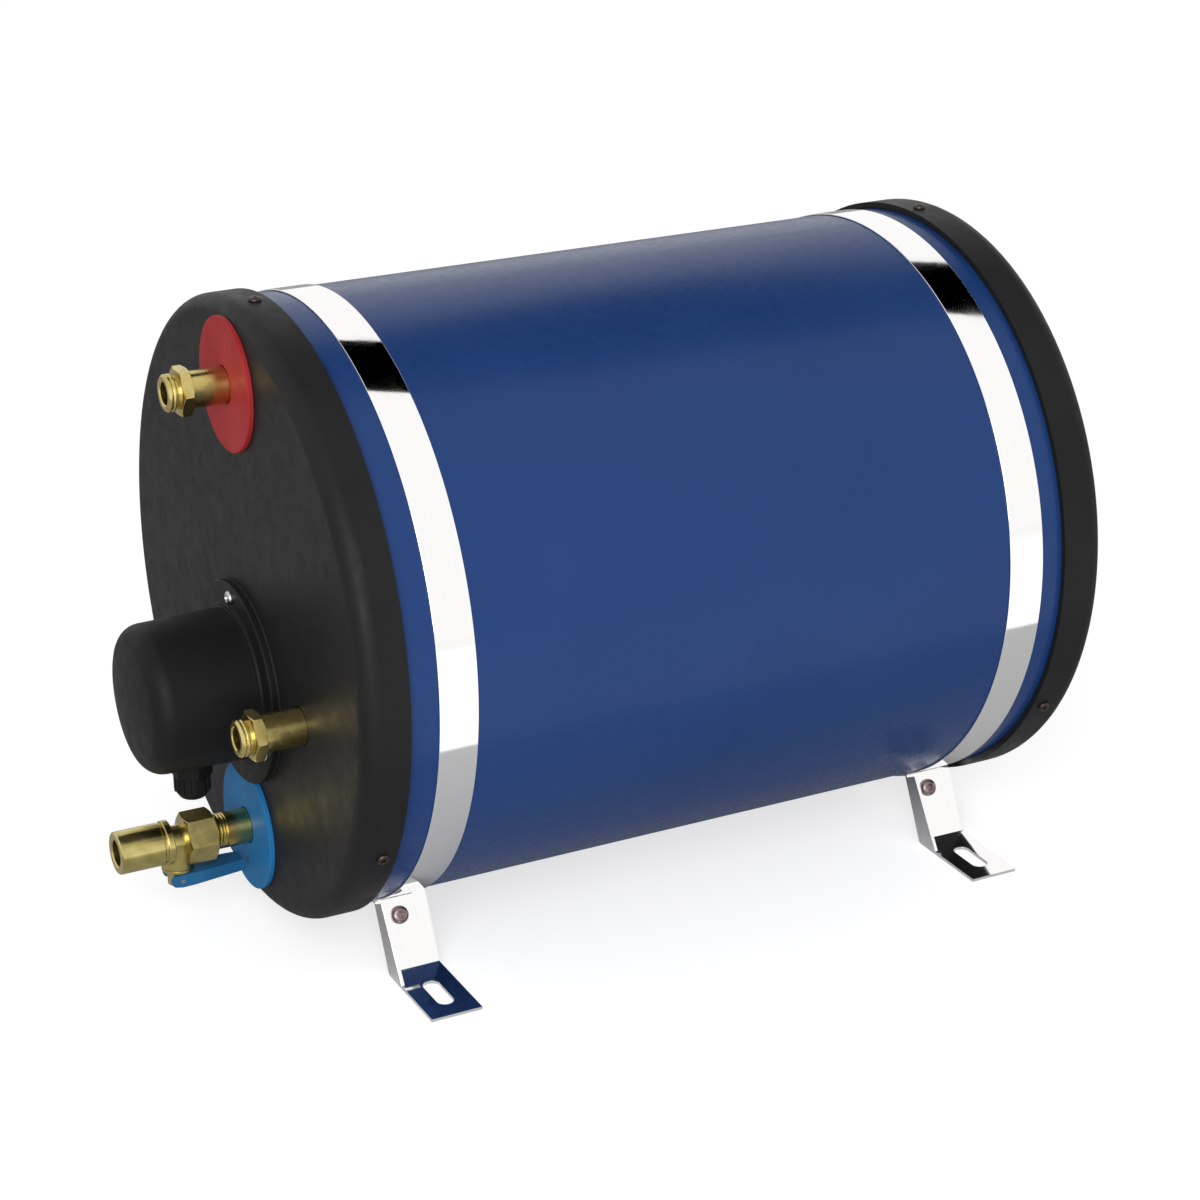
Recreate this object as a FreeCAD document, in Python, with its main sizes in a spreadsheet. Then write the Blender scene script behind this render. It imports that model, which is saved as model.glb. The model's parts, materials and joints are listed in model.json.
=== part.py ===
import FreeCAD, Part
import math
import os
import Sketcher

# Horizontal storage water heater on two strap feet. Lengths are in millimetres, angles in degrees.
# The origin is the centre of the four foot slots on the mounting surface, +Z is up,
# and the end with the connections looks along -Y.

V = FreeCAD.Vector

SIZES = {
    # Whole heater
    "axis_height": 197,
    "strap_spacing": 358,
    "front_rim_gap": 17.3,
    "rear_rim_gap": 13.5,
    # Jacket and end caps
    "jacket_radius": 175,
    "jacket_wall": 0.8,
    "jacket_overlap": 14,
    "cap_clearance": 0.3,
    "cap_wall": 3.5,
    "front_cap_depth": 26,
    "rear_cap_depth": 28,
    "cap_rounding": 10,
    "cap_screw_inset": 8.5,
    "cap_screw_radius": 1.9,
    "cap_screw_head_radius": 3.6,
    "cap_screw_head_height": 2.2,
    "cap_screw_length": 10,
    "screw_clearance": 0.2,
    # Straps and feet
    "strap_width": 22.5,
    "strap_thickness": 0.9,
    "strap_gap": 0.1,
    "web_angle": 26.7,
    "lug_length": 22,
    "foot_width": 31,
    "foot_thickness": 2,
    "foot_tip": 155.5,
    "foot_bend": 3,
    "gusset_thickness": 2,
    "gusset_top_width": 9,
    "gusset_foot_width": 17,
    "slot_spacing": 260,
    "slot_length": 28,
    "slot_radius": 5,
    "strap_bolt_radius": 2.95,
    "strap_bolt_reach": 12,
    "strap_bolt_length": 10,
    "bolt_head_radius": 5.25,
    "bolt_head_height": 3.3,
    "strap_nut_flats": 10,
    "strap_nut_height": 5,
    # Inner tank and insulation
    "tank_radius": 150,
    "tank_wall": 1.5,
    "tank_knuckle": 45,
    "end_insulation": 32,
    "foam_gap": 0.2,
    "foam_front_space": 9.5,
    "foam_rear_space": 2,
    # Tank stubs and brass nipples
    "connection_radius": 134,
    "flow_across": 87.5,
    "flow_up": -35.5,
    "return_across": -84,
    "return_up": -75,
    "stub_radius": 13,
    "stub_setback": 1,
    "stub_reach": 34,
    "water_bore_radius": 6.5,
    "thread_depth": 16,
    "thread_clearance": 0.05,
    "nipple_radius": 10.4,
    "nipple_hole_clearance": 0.6,
    "nipple_shank": 23.5,
    "nipple_hexagon": 25,
    "nipple_hexagon_height": 7,
    "nipple_groove_radius": 9.3,
    "nipple_groove_width": 2,
    "nipple_tip_radius": 10.48,
    "nipple_tip_length": 5,
    "nipple_lead_in": 0.87,
    "marker_radius": 38,
    "marker_thickness": 3,
    # Exchanger coil
    "coil_tube_radius": 6.3,
    "coil_pitch": 36,
    "coil_start": 24,
    "coil_insertion": 12,
    "coil_whole_turns": 4,
    "coil_lead_angle": 30,
    "coil_lead_depth": 20,
    # Element cover
    "cover_up": -43,
    "cover_gasket_thickness": 1.5,
    "cover_flange_radius": 59,
    "cover_flange_thickness": 4,
    "cup_radius": 44,
    "cup_draft": 1,
    "cup_wall": 2.5,
    "cup_shoulder": 65,
    "cup_crown": 4,
    "cup_rounding": 12,
    "cover_screw_circle": 52,
    "cover_screw_radius": 1.8,
    "cover_screw_head_radius": 4,
    "cover_screw_head_height": 2.5,
    "pillar_radius": 4.5,
    "pillar_height": 8,
    "element_opening_radius": 40,
    # Cable gland
    "gland_height": 34,
    "gland_pad_radius": 13,
    "gland_pad_inner": 39,
    "gland_pad_outer": 45.8,
    "gland_thread_radius": 7.9,
    "gland_thread_end": 58,
    "gland_hexagon": 21,
    "gland_hexagon_height": 5,
    "gland_bore_radius": 5,
    "locknut_hexagon": 20,
    "locknut_height": 4,
    "gland_nut_radius": 10.8,
    "gland_nut_length": 13.4,
    "gland_seal_thickness": 4.2,
    "gland_seal_radius": 4,
    "gland_thread_stand": 1,
    # Immersion heater
    "boss_radius": 27,
    "boss_bore_radius": 20.8,
    "boss_outer_end": 8,
    "boss_inside": 6,
    "plug_gasket_thickness": 2,
    "plug_hexagon": 55,
    "plug_head_height": 10,
    "plug_shank": 20,
    "rod_radius": 3.2,
    "rod_spread": 8,
    "rod_down": 12,
    "rod_depth": 240,
    "rod_pin_length": 8,
    "pocket_up": 12,
    "pocket_radius": 4.5,
    "pocket_wall": 0.6,
    "pocket_depth": 190,
    "thermostat_width": 36,
    "thermostat_height": 22,
    "thermostat_depth": 26,
    "probe_radius": 3.6,
    "probe_length": 120,
    "dial_across": -6,
    "dial_radius": 8.5,
    "dial_thickness": 5.6,
    "dial_plate": 1.9,
    "dial_grip_width": 3.4,
    "dial_grip_length": 13.6,
    "dial_gap": 0.4,
    "dial_shaft_radius": 3,
    "dial_shaft_length": 8,
    "button_across": 10.5,
    "button_radius": 2.5,
    "button_height": 4,
    "button_depth": 8,
    "button_travel": 1.5,
    "shaft_clearance": 0.05,
    "terminal_width": 30,
    "terminal_height": 18,
    "terminal_depth": 14,
    "wire_hole_radius": 2.1,
    # Safety valve on the cold connection
    "valve_nipple_radius": 10.4,
    "valve_start": 24,
    "valve_socket_depth": 13,
    "valve_hexagon": 27,
    "valve_hexagon_length": 18,
    "valve_base_radius": 13,
    "valve_neck_radius": 9,
    "valve_neck_length": 8,
    "valve_ring_radius": 13,
    "valve_ring_width": 4,
    "inlet_radius": 12.5,
    "inlet_length": 28,
    "inlet_bore_radius": 7.7,
    "inlet_bore_depth": 20,
    "check_seat_radius": 4.5,
    "check_seat_thickness": 2,
    "chamber_radius": 7,
    "branch_height": 46,
    "branch_radius": 9.2,
    "branch_length": 15.9,
    "relief_seat": 8.5,
    "relief_seat_radius": 3.5,
    "relief_seat_gap": 0.1,
    "relief_cavity_radius": 5.8,
    "drain_drop": 10.9,
    "drain_radius": 4.8,
    "drain_neck_radius": 4.2,
    "drain_neck_end": 12.5,
    "drain_bore_radius": 2.3,
    "drain_length": 24,
    "bonnet_thickness": 2.3,
    "bonnet_recess": 0.5,
    "relief_washer_radius": 5.2,
    "relief_washer_thickness": 1,
    "relief_disc_radius": 5.4,
    "relief_disc_thickness": 1.4,
    "relief_rod_radius": 2,
    "relief_head_radius": 6,
    "relief_head_height": 8,
    "lever_pin_radius": 1.25,
    "lever_pin_drop": 4,
    "relief_lift": 2,
    "lever_angle": 45,
    "lever_gap": 0.3,
    "lever_width": 18,
    "lever_cheek": 2.7,
    "lever_length": 39,
    "lever_tip_width": 12,
    "lever_thickness": 7,
    "lever_root_drop": 1,
    "lever_head_space": 7.8,
    "relief_spring_radius": 4,
    "relief_spring_wire": 0.4,
    "relief_spring_turns": 3,
    "poppet_radius": 6.2,
    "poppet_thickness": 2.5,
    "poppet_stem_radius": 1.5,
    "poppet_travel": 3,
    "poppet_stem_lead": 1,
    "guide_thickness": 3.5,
    "guide_clearance": 0.1,
    "guide_hole_radius": 1.4,
    "guide_hole_circle": 4.3,
    "check_spring_radius": 3.2,
    "check_spring_wire": 0.4,
    "check_spring_turns": 5,
    "seat_gap": 0.3,
    "cut_margin": 1,
}

doc = FreeCAD.newDocument("WaterHeater")
sheet = doc.addObject("Spreadsheet::Sheet", "Sizes")
for row, (size_name, size_value) in enumerate(SIZES.items(), start=1):
    sheet.set("A%d" % row, size_name)
    sheet.set("B%d" % row, str(size_value))
    sheet.setAlias("B%d" % row, size_name)
doc.recompute()


# Sizes that remember their formula

class Size(float):
    """A number that also knows how the sheet works it out."""

    def __new__(cls, value, formula):
        size = float.__new__(cls, value)
        size.formula = formula
        return size

    def __add__(self, other):
        return Size(float(self) + float(other), "(%s + %s)" % (formula(self), formula(other)))

    def __radd__(self, other):
        return Size(float(other) + float(self), "(%s + %s)" % (formula(other), formula(self)))

    def __sub__(self, other):
        return Size(float(self) - float(other), "(%s - %s)" % (formula(self), formula(other)))

    def __rsub__(self, other):
        return Size(float(other) - float(self), "(%s - %s)" % (formula(other), formula(self)))

    def __mul__(self, other):
        return Size(float(self) * float(other), "(%s * %s)" % (formula(self), formula(other)))

    def __rmul__(self, other):
        return Size(float(other) * float(self), "(%s * %s)" % (formula(other), formula(self)))

    def __truediv__(self, other):
        return Size(float(self) / float(other), "(%s / %s)" % (formula(self), formula(other)))

    def __neg__(self):
        return Size(-float(self), "(0 - %s)" % formula(self))


def formula(value):
    """The text that the sheet understands for a size or a plain number."""
    return value.formula if isinstance(value, Size) else repr(float(value))


def cosine(angle):
    return Size(math.cos(math.radians(angle)), "cos(%s)" % formula(angle))


def sine(angle):
    return Size(math.sin(math.radians(angle)), "sin(%s)" % formula(angle))


class SheetReader:
    """Reads a named size from the sheet."""

    def __getattr__(self, name):
        return Size(float(sheet.get(name)), "Sizes." + name)


s = SheetReader()

# Places that several pieces share

foot_offset = (s.foot_width - s.strap_width) / 2
front_strap_y = -(s.strap_spacing / 2) - foot_offset
rear_strap_y = s.strap_spacing / 2 - foot_offset
front_face_y = front_strap_y - s.strap_width / 2 - s.front_rim_gap - s.front_cap_depth
rear_face_y = rear_strap_y + s.strap_width / 2 + s.rear_rim_gap + s.rear_cap_depth
body_length = rear_face_y - front_face_y
cap_inner_radius = s.jacket_radius + s.cap_clearance
cap_outer_radius = cap_inner_radius + s.cap_wall
strap_inner_radius = s.jacket_radius + s.strap_gap
foot_plate_radius = strap_inner_radius + s.foot_thickness
stub_front = -(s.cap_wall + s.stub_setback)
stub_end = -(s.end_insulation + s.stub_reach)
tank_front = -s.end_insulation
tank_rear = -(body_length - s.end_insulation)
cover_seat = s.cover_gasket_thickness
plug_seat = -(s.boss_outer_end - s.plug_gasket_thickness)
plug_face = plug_seat + s.plug_head_height
valve_socket_end = s.valve_start + s.valve_socket_depth
valve_hexagon_end = s.valve_start + s.valve_hexagon_length
valve_ring_start = valve_hexagon_end + s.valve_neck_length
inlet_start = valve_ring_start + s.valve_ring_width
inlet_end = inlet_start + s.inlet_length
check_seat_front = inlet_end - s.inlet_bore_depth
chamber_end = check_seat_front - s.check_seat_thickness
poppet_face = chamber_end - s.seat_gap
poppet_back = poppet_face - s.poppet_thickness
guide_start = valve_socket_end + s.seat_gap
guide_end = guide_start + s.guide_thickness
bonnet_end = s.branch_length + s.bonnet_thickness
bonnet_ceiling = s.branch_length + s.bonnet_recess
lever_pin_at = bonnet_end + s.lever_pin_drop
washer_start = s.relief_seat + s.relief_seat_gap
disc_start = washer_start + s.relief_washer_thickness
disc_end = disc_start + s.relief_disc_thickness
head_start = bonnet_end + s.lever_gap

# Turns of a piece's own axes: its Z looks out of the front, out of the rear, or down

LEVEL = FreeCAD.Rotation()
FRONT = FreeCAD.Rotation(V(1, 0, 0), 90)
REAR = FreeCAD.Rotation(V(0, 0, 1), 180).multiply(FRONT)
DOWN = FreeCAD.Rotation(V(1, 0, 0), 180)
ALONG_Y = FreeCAD.Rotation(V(1, 0, 0), -90)
AGAINST_Y = FRONT
ALONG_X = FreeCAD.Rotation(V(0, 1, 0), 90)
AGAINST_X = FreeCAD.Rotation(V(0, 1, 0), -90)

HANDS = (("right", 1), ("left", -1))
CAP_SCREWS = 3
COVER_SCREWS = 3
FLOW_HOLES = 4
# Share of a thin wall that its small edge rounding takes
EDGE_SHARE = 1 / 3

pieces = []


# Drawing helpers

def bind(thing, path, value):
    """Ties a property to the sheet where the value comes from it."""
    if isinstance(value, Size):
        thing.setExpression(path, value.formula)


def put(thing, prop, base, turn):
    """Sets a placement and ties its base to the sheet."""
    setattr(thing, prop, FreeCAD.Placement(V(*[float(value) for value in base]), turn))
    for axis, value in zip("xyz", base):
        bind(thing, "%s.Base.%s" % (prop, axis), value)


def new_body(node, base, turn):
    body = doc.addObject("PartDesign::Body", node)
    body.Label = node
    put(body, "Placement", base, turn)
    pieces.append(body)
    return body


def plane(body, role):
    return [item for item in body.Origin.OriginFeatures if item.Role == role][0]


def add(body, kind, name):
    return body.newObject(kind, "%s_%s" % (body.Label, name))


def attach(body, feature, role, base=(0, 0, 0), turn=LEVEL):
    feature.AttachmentSupport = [(plane(body, role), "")]
    feature.MapMode = "FlatFace"
    put(feature, "AttachmentOffset", base, turn)


def new_sketch(body, name, role, base=(0, 0, 0)):
    sketch = add(body, "Sketcher::SketchObject", name)
    attach(body, sketch, role, base)
    return sketch


def constrain(sketch, value, *items):
    """Adds one dimension and ties it to the sheet."""
    index = sketch.addConstraint(Sketcher.Constraint(*items, float(value)))
    bind(sketch, "Constraints[%d]" % index, value)


def pin(sketch, item, end, point):
    """Holds one point of a sketch at its place."""
    for kind, axis, value in (("DistanceX", -2, point[0]), ("DistanceY", -1, point[1])):
        if value == 0:
            sketch.addConstraint(Sketcher.Constraint("PointOnObject", item, end, axis))
        else:
            constrain(sketch, value, kind, -1, 1, item, end)


def outline(sketch, points, domes=()):
    """Draws a closed outline. A side listed in domes is an arc centred on the upright axis."""
    start_of = []
    end_of = []
    for index, first in enumerate(points):
        second = points[(index + 1) % len(points)]
        a = V(float(first[0]), float(first[1]), 0)
        b = V(float(second[0]), float(second[1]), 0)
        start_of.append(1)
        end_of.append(2)
        if index not in domes:
            sketch.addGeometry(Part.LineSegment(a, b), False)
            continue
        level = (b.dot(b) - a.dot(a)) / (2 * (b.y - a.y))
        centre = V(0, level, 0)
        angle_a = math.atan2(a.y - level, a.x)
        angle_b = math.atan2(b.y - level, b.x)
        circle = Part.Circle(centre, V(0, 0, 1), (a - centre).Length)
        if angle_a > angle_b:
            start_of[-1], end_of[-1] = 2, 1
            angle_a, angle_b = angle_b, angle_a
        sketch.addGeometry(Part.ArcOfCircle(circle, angle_a, angle_b), False)
        sketch.addConstraint(Sketcher.Constraint("PointOnObject", index, 3, -2))
    for index, point in enumerate(points):
        before = (index - 1) % len(points)
        sketch.addConstraint(
            Sketcher.Constraint("Coincident", before, end_of[before], index, start_of[index]))
        pin(sketch, index, start_of[index], point)
    doc.recompute()


def circle(sketch, centre, radius):
    shape = Part.Circle(V(float(centre[0]), float(centre[1]), 0), V(0, 0, 1), float(radius))
    item = sketch.addGeometry(shape, False)
    constrain(sketch, radius, "Radius", item)
    pin(sketch, item, 3, centre)
    doc.recompute()


def slot(sketch, centre_x, half_length, radius):
    """A round-ended slot along the sketch's X axis."""
    x = float(centre_x)
    a = float(half_length)
    r = float(radius)
    quarter = math.pi / 2
    sketch.addGeometry(Part.LineSegment(V(x - a, r, 0), V(x + a, r, 0)), False)
    right = Part.Circle(V(x + a, 0, 0), V(0, 0, 1), r)
    sketch.addGeometry(Part.ArcOfCircle(right, -quarter, quarter), False)
    sketch.addGeometry(Part.LineSegment(V(x + a, -r, 0), V(x - a, -r, 0)), False)
    left = Part.Circle(V(x - a, 0, 0), V(0, 0, 1), r)
    sketch.addGeometry(Part.ArcOfCircle(left, quarter, 3 * quarter), False)
    for items in ((0, 2, 1, 2), (1, 1, 2, 1), (2, 2, 3, 2), (3, 1, 0, 1)):
        sketch.addConstraint(Sketcher.Constraint("Tangent", *items))
    sketch.addConstraint(Sketcher.Constraint("Horizontal", 0))
    sketch.addConstraint(Sketcher.Constraint("Equal", 1, 3))
    constrain(sketch, radius, "Radius", 1)
    sketch.addConstraint(Sketcher.Constraint("PointOnObject", 1, 3, -1))
    constrain(sketch, centre_x + half_length, "DistanceX", -1, 1, 1, 3)
    constrain(sketch, centre_x - half_length, "DistanceX", -1, 1, 3, 3)
    doc.recompute()


# Feature helpers

def revolve(body, name, sketch, axis="V_Axis", angle=360):
    feature = add(body, "PartDesign::Revolution", name)
    feature.Profile = sketch
    feature.ReferenceAxis = (sketch, [axis])
    feature.Angle = float(angle)
    bind(feature, "Angle", angle)
    feature.Midplane = angle != 360
    doc.recompute()
    return feature


def turned(node, base, turn, points, domes=()):
    """A turned piece: its half section is given as radius and height on its own Z axis."""
    body = new_body(node, base, turn)
    sketch = new_sketch(body, "section", "XZ_Plane")
    outline(sketch, points, domes)
    revolve(body, "turning", sketch)
    return body


def pad(body, name, sketch, length):
    feature = add(body, "PartDesign::Pad", name)
    feature.Profile = sketch
    feature.Length = float(length)
    bind(feature, "Length", length)
    doc.recompute()
    return feature


def must_cut(body, before, name):
    """A cut that misses the solid is a mistake in the model."""
    if body.Tip.Shape.Volume >= before:
        raise RuntimeError("%s: the cut %s removes nothing" % (body.Label, name))


def pocket(body, name, sketch, length):
    before = body.Tip.Shape.Volume
    feature = add(body, "PartDesign::Pocket", name)
    feature.Profile = sketch
    feature.Length = float(length)
    bind(feature, "Length", length)
    doc.recompute()
    must_cut(body, before, name)
    return feature


def cylinder(body, kind, name, radius, length, base, turn):
    """A round boss or hole on a plane of the body, turned as asked."""
    before = body.Tip.Shape.Volume if body.Tip else 0
    feature = add(body, "PartDesign::%sCylinder" % kind, name)
    attach(body, feature, "XY_Plane", base, turn)
    feature.Radius = float(radius)
    feature.Height = float(length)
    bind(feature, "Radius", radius)
    bind(feature, "Height", length)
    doc.recompute()
    if kind == "Subtractive":
        must_cut(body, before, name)
    return feature


def boss(body, name, radius, length, base, turn=LEVEL):
    return cylinder(body, "Additive", name, radius, length, base, turn)


def drill(body, name, radius, length, base, turn=LEVEL):
    return cylinder(body, "Subtractive", name, radius, length, base, turn)


def box(body, kind, name, size, base):
    feature = add(body, "PartDesign::%sBox" % kind, name)
    attach(body, feature, "XY_Plane", base)
    for prop, value in zip(("Length", "Width", "Height"), size):
        setattr(feature, prop, float(value))
        bind(feature, prop, value)
    doc.recompute()
    return feature


def hexagon(body, name, flats, start, length):
    """A hexagonal collar on the body's own axis."""
    feature = add(body, "PartDesign::AdditivePrism", name)
    attach(body, feature, "XY_Plane", (0, 0, start))
    feature.Polygon = 6
    corner = flats / (2 * cosine(30))
    feature.Circumradius = float(corner)
    feature.Height = float(length)
    bind(feature, "Circumradius", corner)
    bind(feature, "Height", length)
    doc.recompute()
    return feature


def polar(body, name, features, count, axis=None):
    feature = add(body, "PartDesign::PolarPattern", name)
    feature.Originals = features
    feature.Axis = axis or (plane(body, "Z_Axis"), [""])
    feature.Angle = 360
    feature.Occurrences = count
    body.Tip = feature
    doc.recompute()
    return feature


def rings(shape, radius, height, centre=(0, 0)):
    """Names of the round edges with this radius at this height."""
    names = []
    for index, edge in enumerate(shape.Edges, start=1):
        if edge.Degenerated:
            continue
        curve = edge.Curve
        if not isinstance(curve, Part.Circle) or abs(curve.Radius - radius) > 0.01:
            continue
        if (curve.Center - V(float(centre[0]), float(centre[1]), float(height))).Length < 0.01:
            names.append("Edge%d" % index)
    return names


def straights(shape, x, z):
    """Names of the edges that run along Y at this place."""
    names = []
    for index, edge in enumerate(shape.Edges, start=1):
        ends = [vertex.Point for vertex in edge.Vertexes]
        if len(ends) == 2 and all(abs(p.x - x) < 0.05 and abs(p.z - z) < 0.05 for p in ends):
            names.append("Edge%d" % index)
    return names


def soften(body, kind, name, radius, edges):
    """A fillet or chamfer on the named edges of the piece so far."""
    if not edges:
        raise RuntimeError("%s: no edge found for %s" % (body.Label, name))
    base = body.Tip
    feature = add(body, "PartDesign::" + kind, name)
    feature.Base = (base, edges)
    prop = "Radius" if kind == "Fillet" else "Size"
    setattr(feature, prop, float(radius))
    bind(feature, prop, radius)
    doc.recompute()
    return feature


def fillet_rings(body, name, radius, *spots):
    edges = []
    for spot in spots:
        edges += rings(body.Tip.Shape, *spot)
    return soften(body, "Fillet", name, radius, edges)


def at_face(across=0, up=0):
    """A point on the front face, given from the heater's axis."""
    return (across, front_face_y, s.axis_height + up)


def through(wall):
    """Length of a cut that starts one wall before a wall and ends one wall past it."""
    return wall * 3


# Jacket, end caps and their screws

def outer_jacket():
    near = -(s.front_cap_depth - s.jacket_overlap)
    far = -(body_length - s.rear_cap_depth + s.jacket_overlap)
    inner = s.jacket_radius - s.jacket_wall
    points = [(inner, near), (s.jacket_radius, near), (s.jacket_radius, far), (inner, far)]
    body = turned("outer_jacket", at_face(), FRONT, points)
    screw_levels = (
        ("front", -(s.front_cap_depth - s.cap_screw_inset)),
        ("rear", -(body_length - s.rear_cap_depth + s.cap_screw_inset)),
    )
    for end, level in screw_levels:
        hole = drill(body, end + "_screw_hole", s.cap_screw_radius + s.screw_clearance,
                     through(s.jacket_wall), (0, inner - s.jacket_wall, level), ALONG_Y)
        polar(body, end + "_screw_holes", [hole], CAP_SCREWS)


def end_cap(node, base, turn, depth):
    """A moulded cap with a rounded edge, its skirt over the end of the jacket."""
    points = [(0, 0), (cap_outer_radius, 0), (cap_outer_radius, -depth), (cap_inner_radius, -depth),
              (cap_inner_radius, -s.cap_wall), (0, -s.cap_wall)]
    body = turned(node, base, turn, points)
    fillet_rings(body, "outer_rounding", s.cap_rounding, (cap_outer_radius, 0))
    fillet_rings(body, "inner_rounding", s.cap_rounding - s.cap_wall, (cap_inner_radius, -s.cap_wall))
    hole = drill(body, "screw_hole", s.cap_screw_radius + s.screw_clearance, through(s.cap_wall),
                 (0, cap_inner_radius - s.cap_wall, -(depth - s.cap_screw_inset)), ALONG_Y)
    polar(body, "screw_holes", [hole], CAP_SCREWS)
    return body


def front_end_cap():
    body = end_cap("front_end_cap", at_face(), FRONT, s.front_cap_depth)
    depth = through(s.cap_wall)
    for name, spot in connections().items():
        drill(body, name + "_hole", s.nipple_radius + s.nipple_hole_clearance, depth,
              spot + (-s.cap_wall * 2,))
    pillar_sketch = new_sketch(body, "pillar", "XY_Plane", (0, s.cover_up, -s.cap_wall - s.pillar_height))
    circle(pillar_sketch, (0, s.cover_screw_circle), s.pillar_radius)
    pillar = pad(body, "pillar_pad", pillar_sketch, s.pillar_height)
    polar(body, "pillars", [pillar], COVER_SCREWS, (pillar_sketch, ["N_Axis"]))
    bore_sketch = new_sketch(body, "pilot", "XY_Plane", (0, s.cover_up, 0))
    circle(bore_sketch, (0, s.cover_screw_circle), s.cover_screw_radius + s.thread_clearance)
    pilot = pocket(body, "pilot_bore", bore_sketch, s.cap_wall + s.pillar_height)
    polar(body, "pilot_bores", [pilot], COVER_SCREWS, (bore_sketch, ["N_Axis"]))
    drill(body, "element_opening", s.element_opening_radius, depth, (0, s.cover_up, -s.cap_wall * 2))


def cap_screws(node, base, turn, depth):
    """Three pan-head screws, one at the top, driven through the skirt into the jacket."""
    body = new_body(node, base, turn)
    sketch = new_sketch(body, "section", "YZ_Plane", (0, -(depth - s.cap_screw_inset), 0))
    head = cap_outer_radius + s.cap_screw_head_height
    tip = cap_outer_radius - s.cap_screw_length
    outline(sketch, [(tip, 0), (head, 0), (head, s.cap_screw_head_radius),
                     (cap_outer_radius, s.cap_screw_head_radius),
                     (cap_outer_radius, s.cap_screw_radius), (tip, s.cap_screw_radius)])
    screw = revolve(body, "screw", sketch, "H_Axis")
    polar(body, "screws", [screw], CAP_SCREWS)


def caps():
    front_end_cap()
    end_cap("rear_end_cap", (0, rear_face_y, s.axis_height), REAR, s.rear_cap_depth)
    cap_screws("front_cap_screws", at_face(), FRONT, s.front_cap_depth)
    cap_screws("rear_cap_screws", (0, rear_face_y, s.axis_height), REAR, s.rear_cap_depth)


# Straps, feet and their bolts

def web_point(side, along, aside, level=0):
    """A point beside the sloping web: along it from the axis, and square to it, outwards."""
    x = along * sine(s.web_angle) + aside * cosine(s.web_angle)
    z = aside * sine(s.web_angle) - along * cosine(s.web_angle)
    return (x * side, z + level)


def bolt_y(strap_y):
    """The bolts stand in the middle of the lugs."""
    return strap_y + (s.gusset_thickness + s.seat_gap) / 2


def bolt_along():
    return strap_inner_radius + s.strap_bolt_reach


def bolt_turn(side):
    """Turns a cylinder's axis square to the web on the right, 1, or the left, -1."""
    return FreeCAD.Rotation(V(0, 1, 0), side * (90 - float(s.web_angle)))


def strap(node, strap_y):
    """Upper band of a strap, from lug to lug over the top."""
    body = new_body(node, (0, strap_y, s.axis_height), LEVEL)
    half = s.strap_width / 2
    outer = strap_inner_radius + s.strap_thickness
    band = new_sketch(body, "band_section", "YZ_Plane")
    outline(band, [(-half, strap_inner_radius), (half, strap_inner_radius), (half, outer), (-half, outer)])
    revolve(body, "band", band, "H_Axis", 360 - 2 * s.web_angle)
    start = strap_inner_radius + s.strap_thickness / 2
    end = strap_inner_radius + s.lug_length
    for hand, side in HANDS:
        lug = new_sketch(body, hand + "_lug_side", "XZ_Plane", (0, 0, -half))
        outline(lug, [web_point(side, start, 0), web_point(side, end, 0),
                      web_point(side, end, s.strap_thickness), web_point(side, start, s.strap_thickness)])
        pad(body, hand + "_lug", lug, s.strap_width - s.gusset_thickness - s.seat_gap)
        x, z = web_point(side, bolt_along(), -s.strap_thickness)
        drill(body, hand + "_bolt_hole", s.strap_bolt_radius + s.screw_clearance, through(s.strap_thickness),
              (x, (s.gusset_thickness + s.seat_gap) / 2, z), bolt_turn(side))


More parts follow.
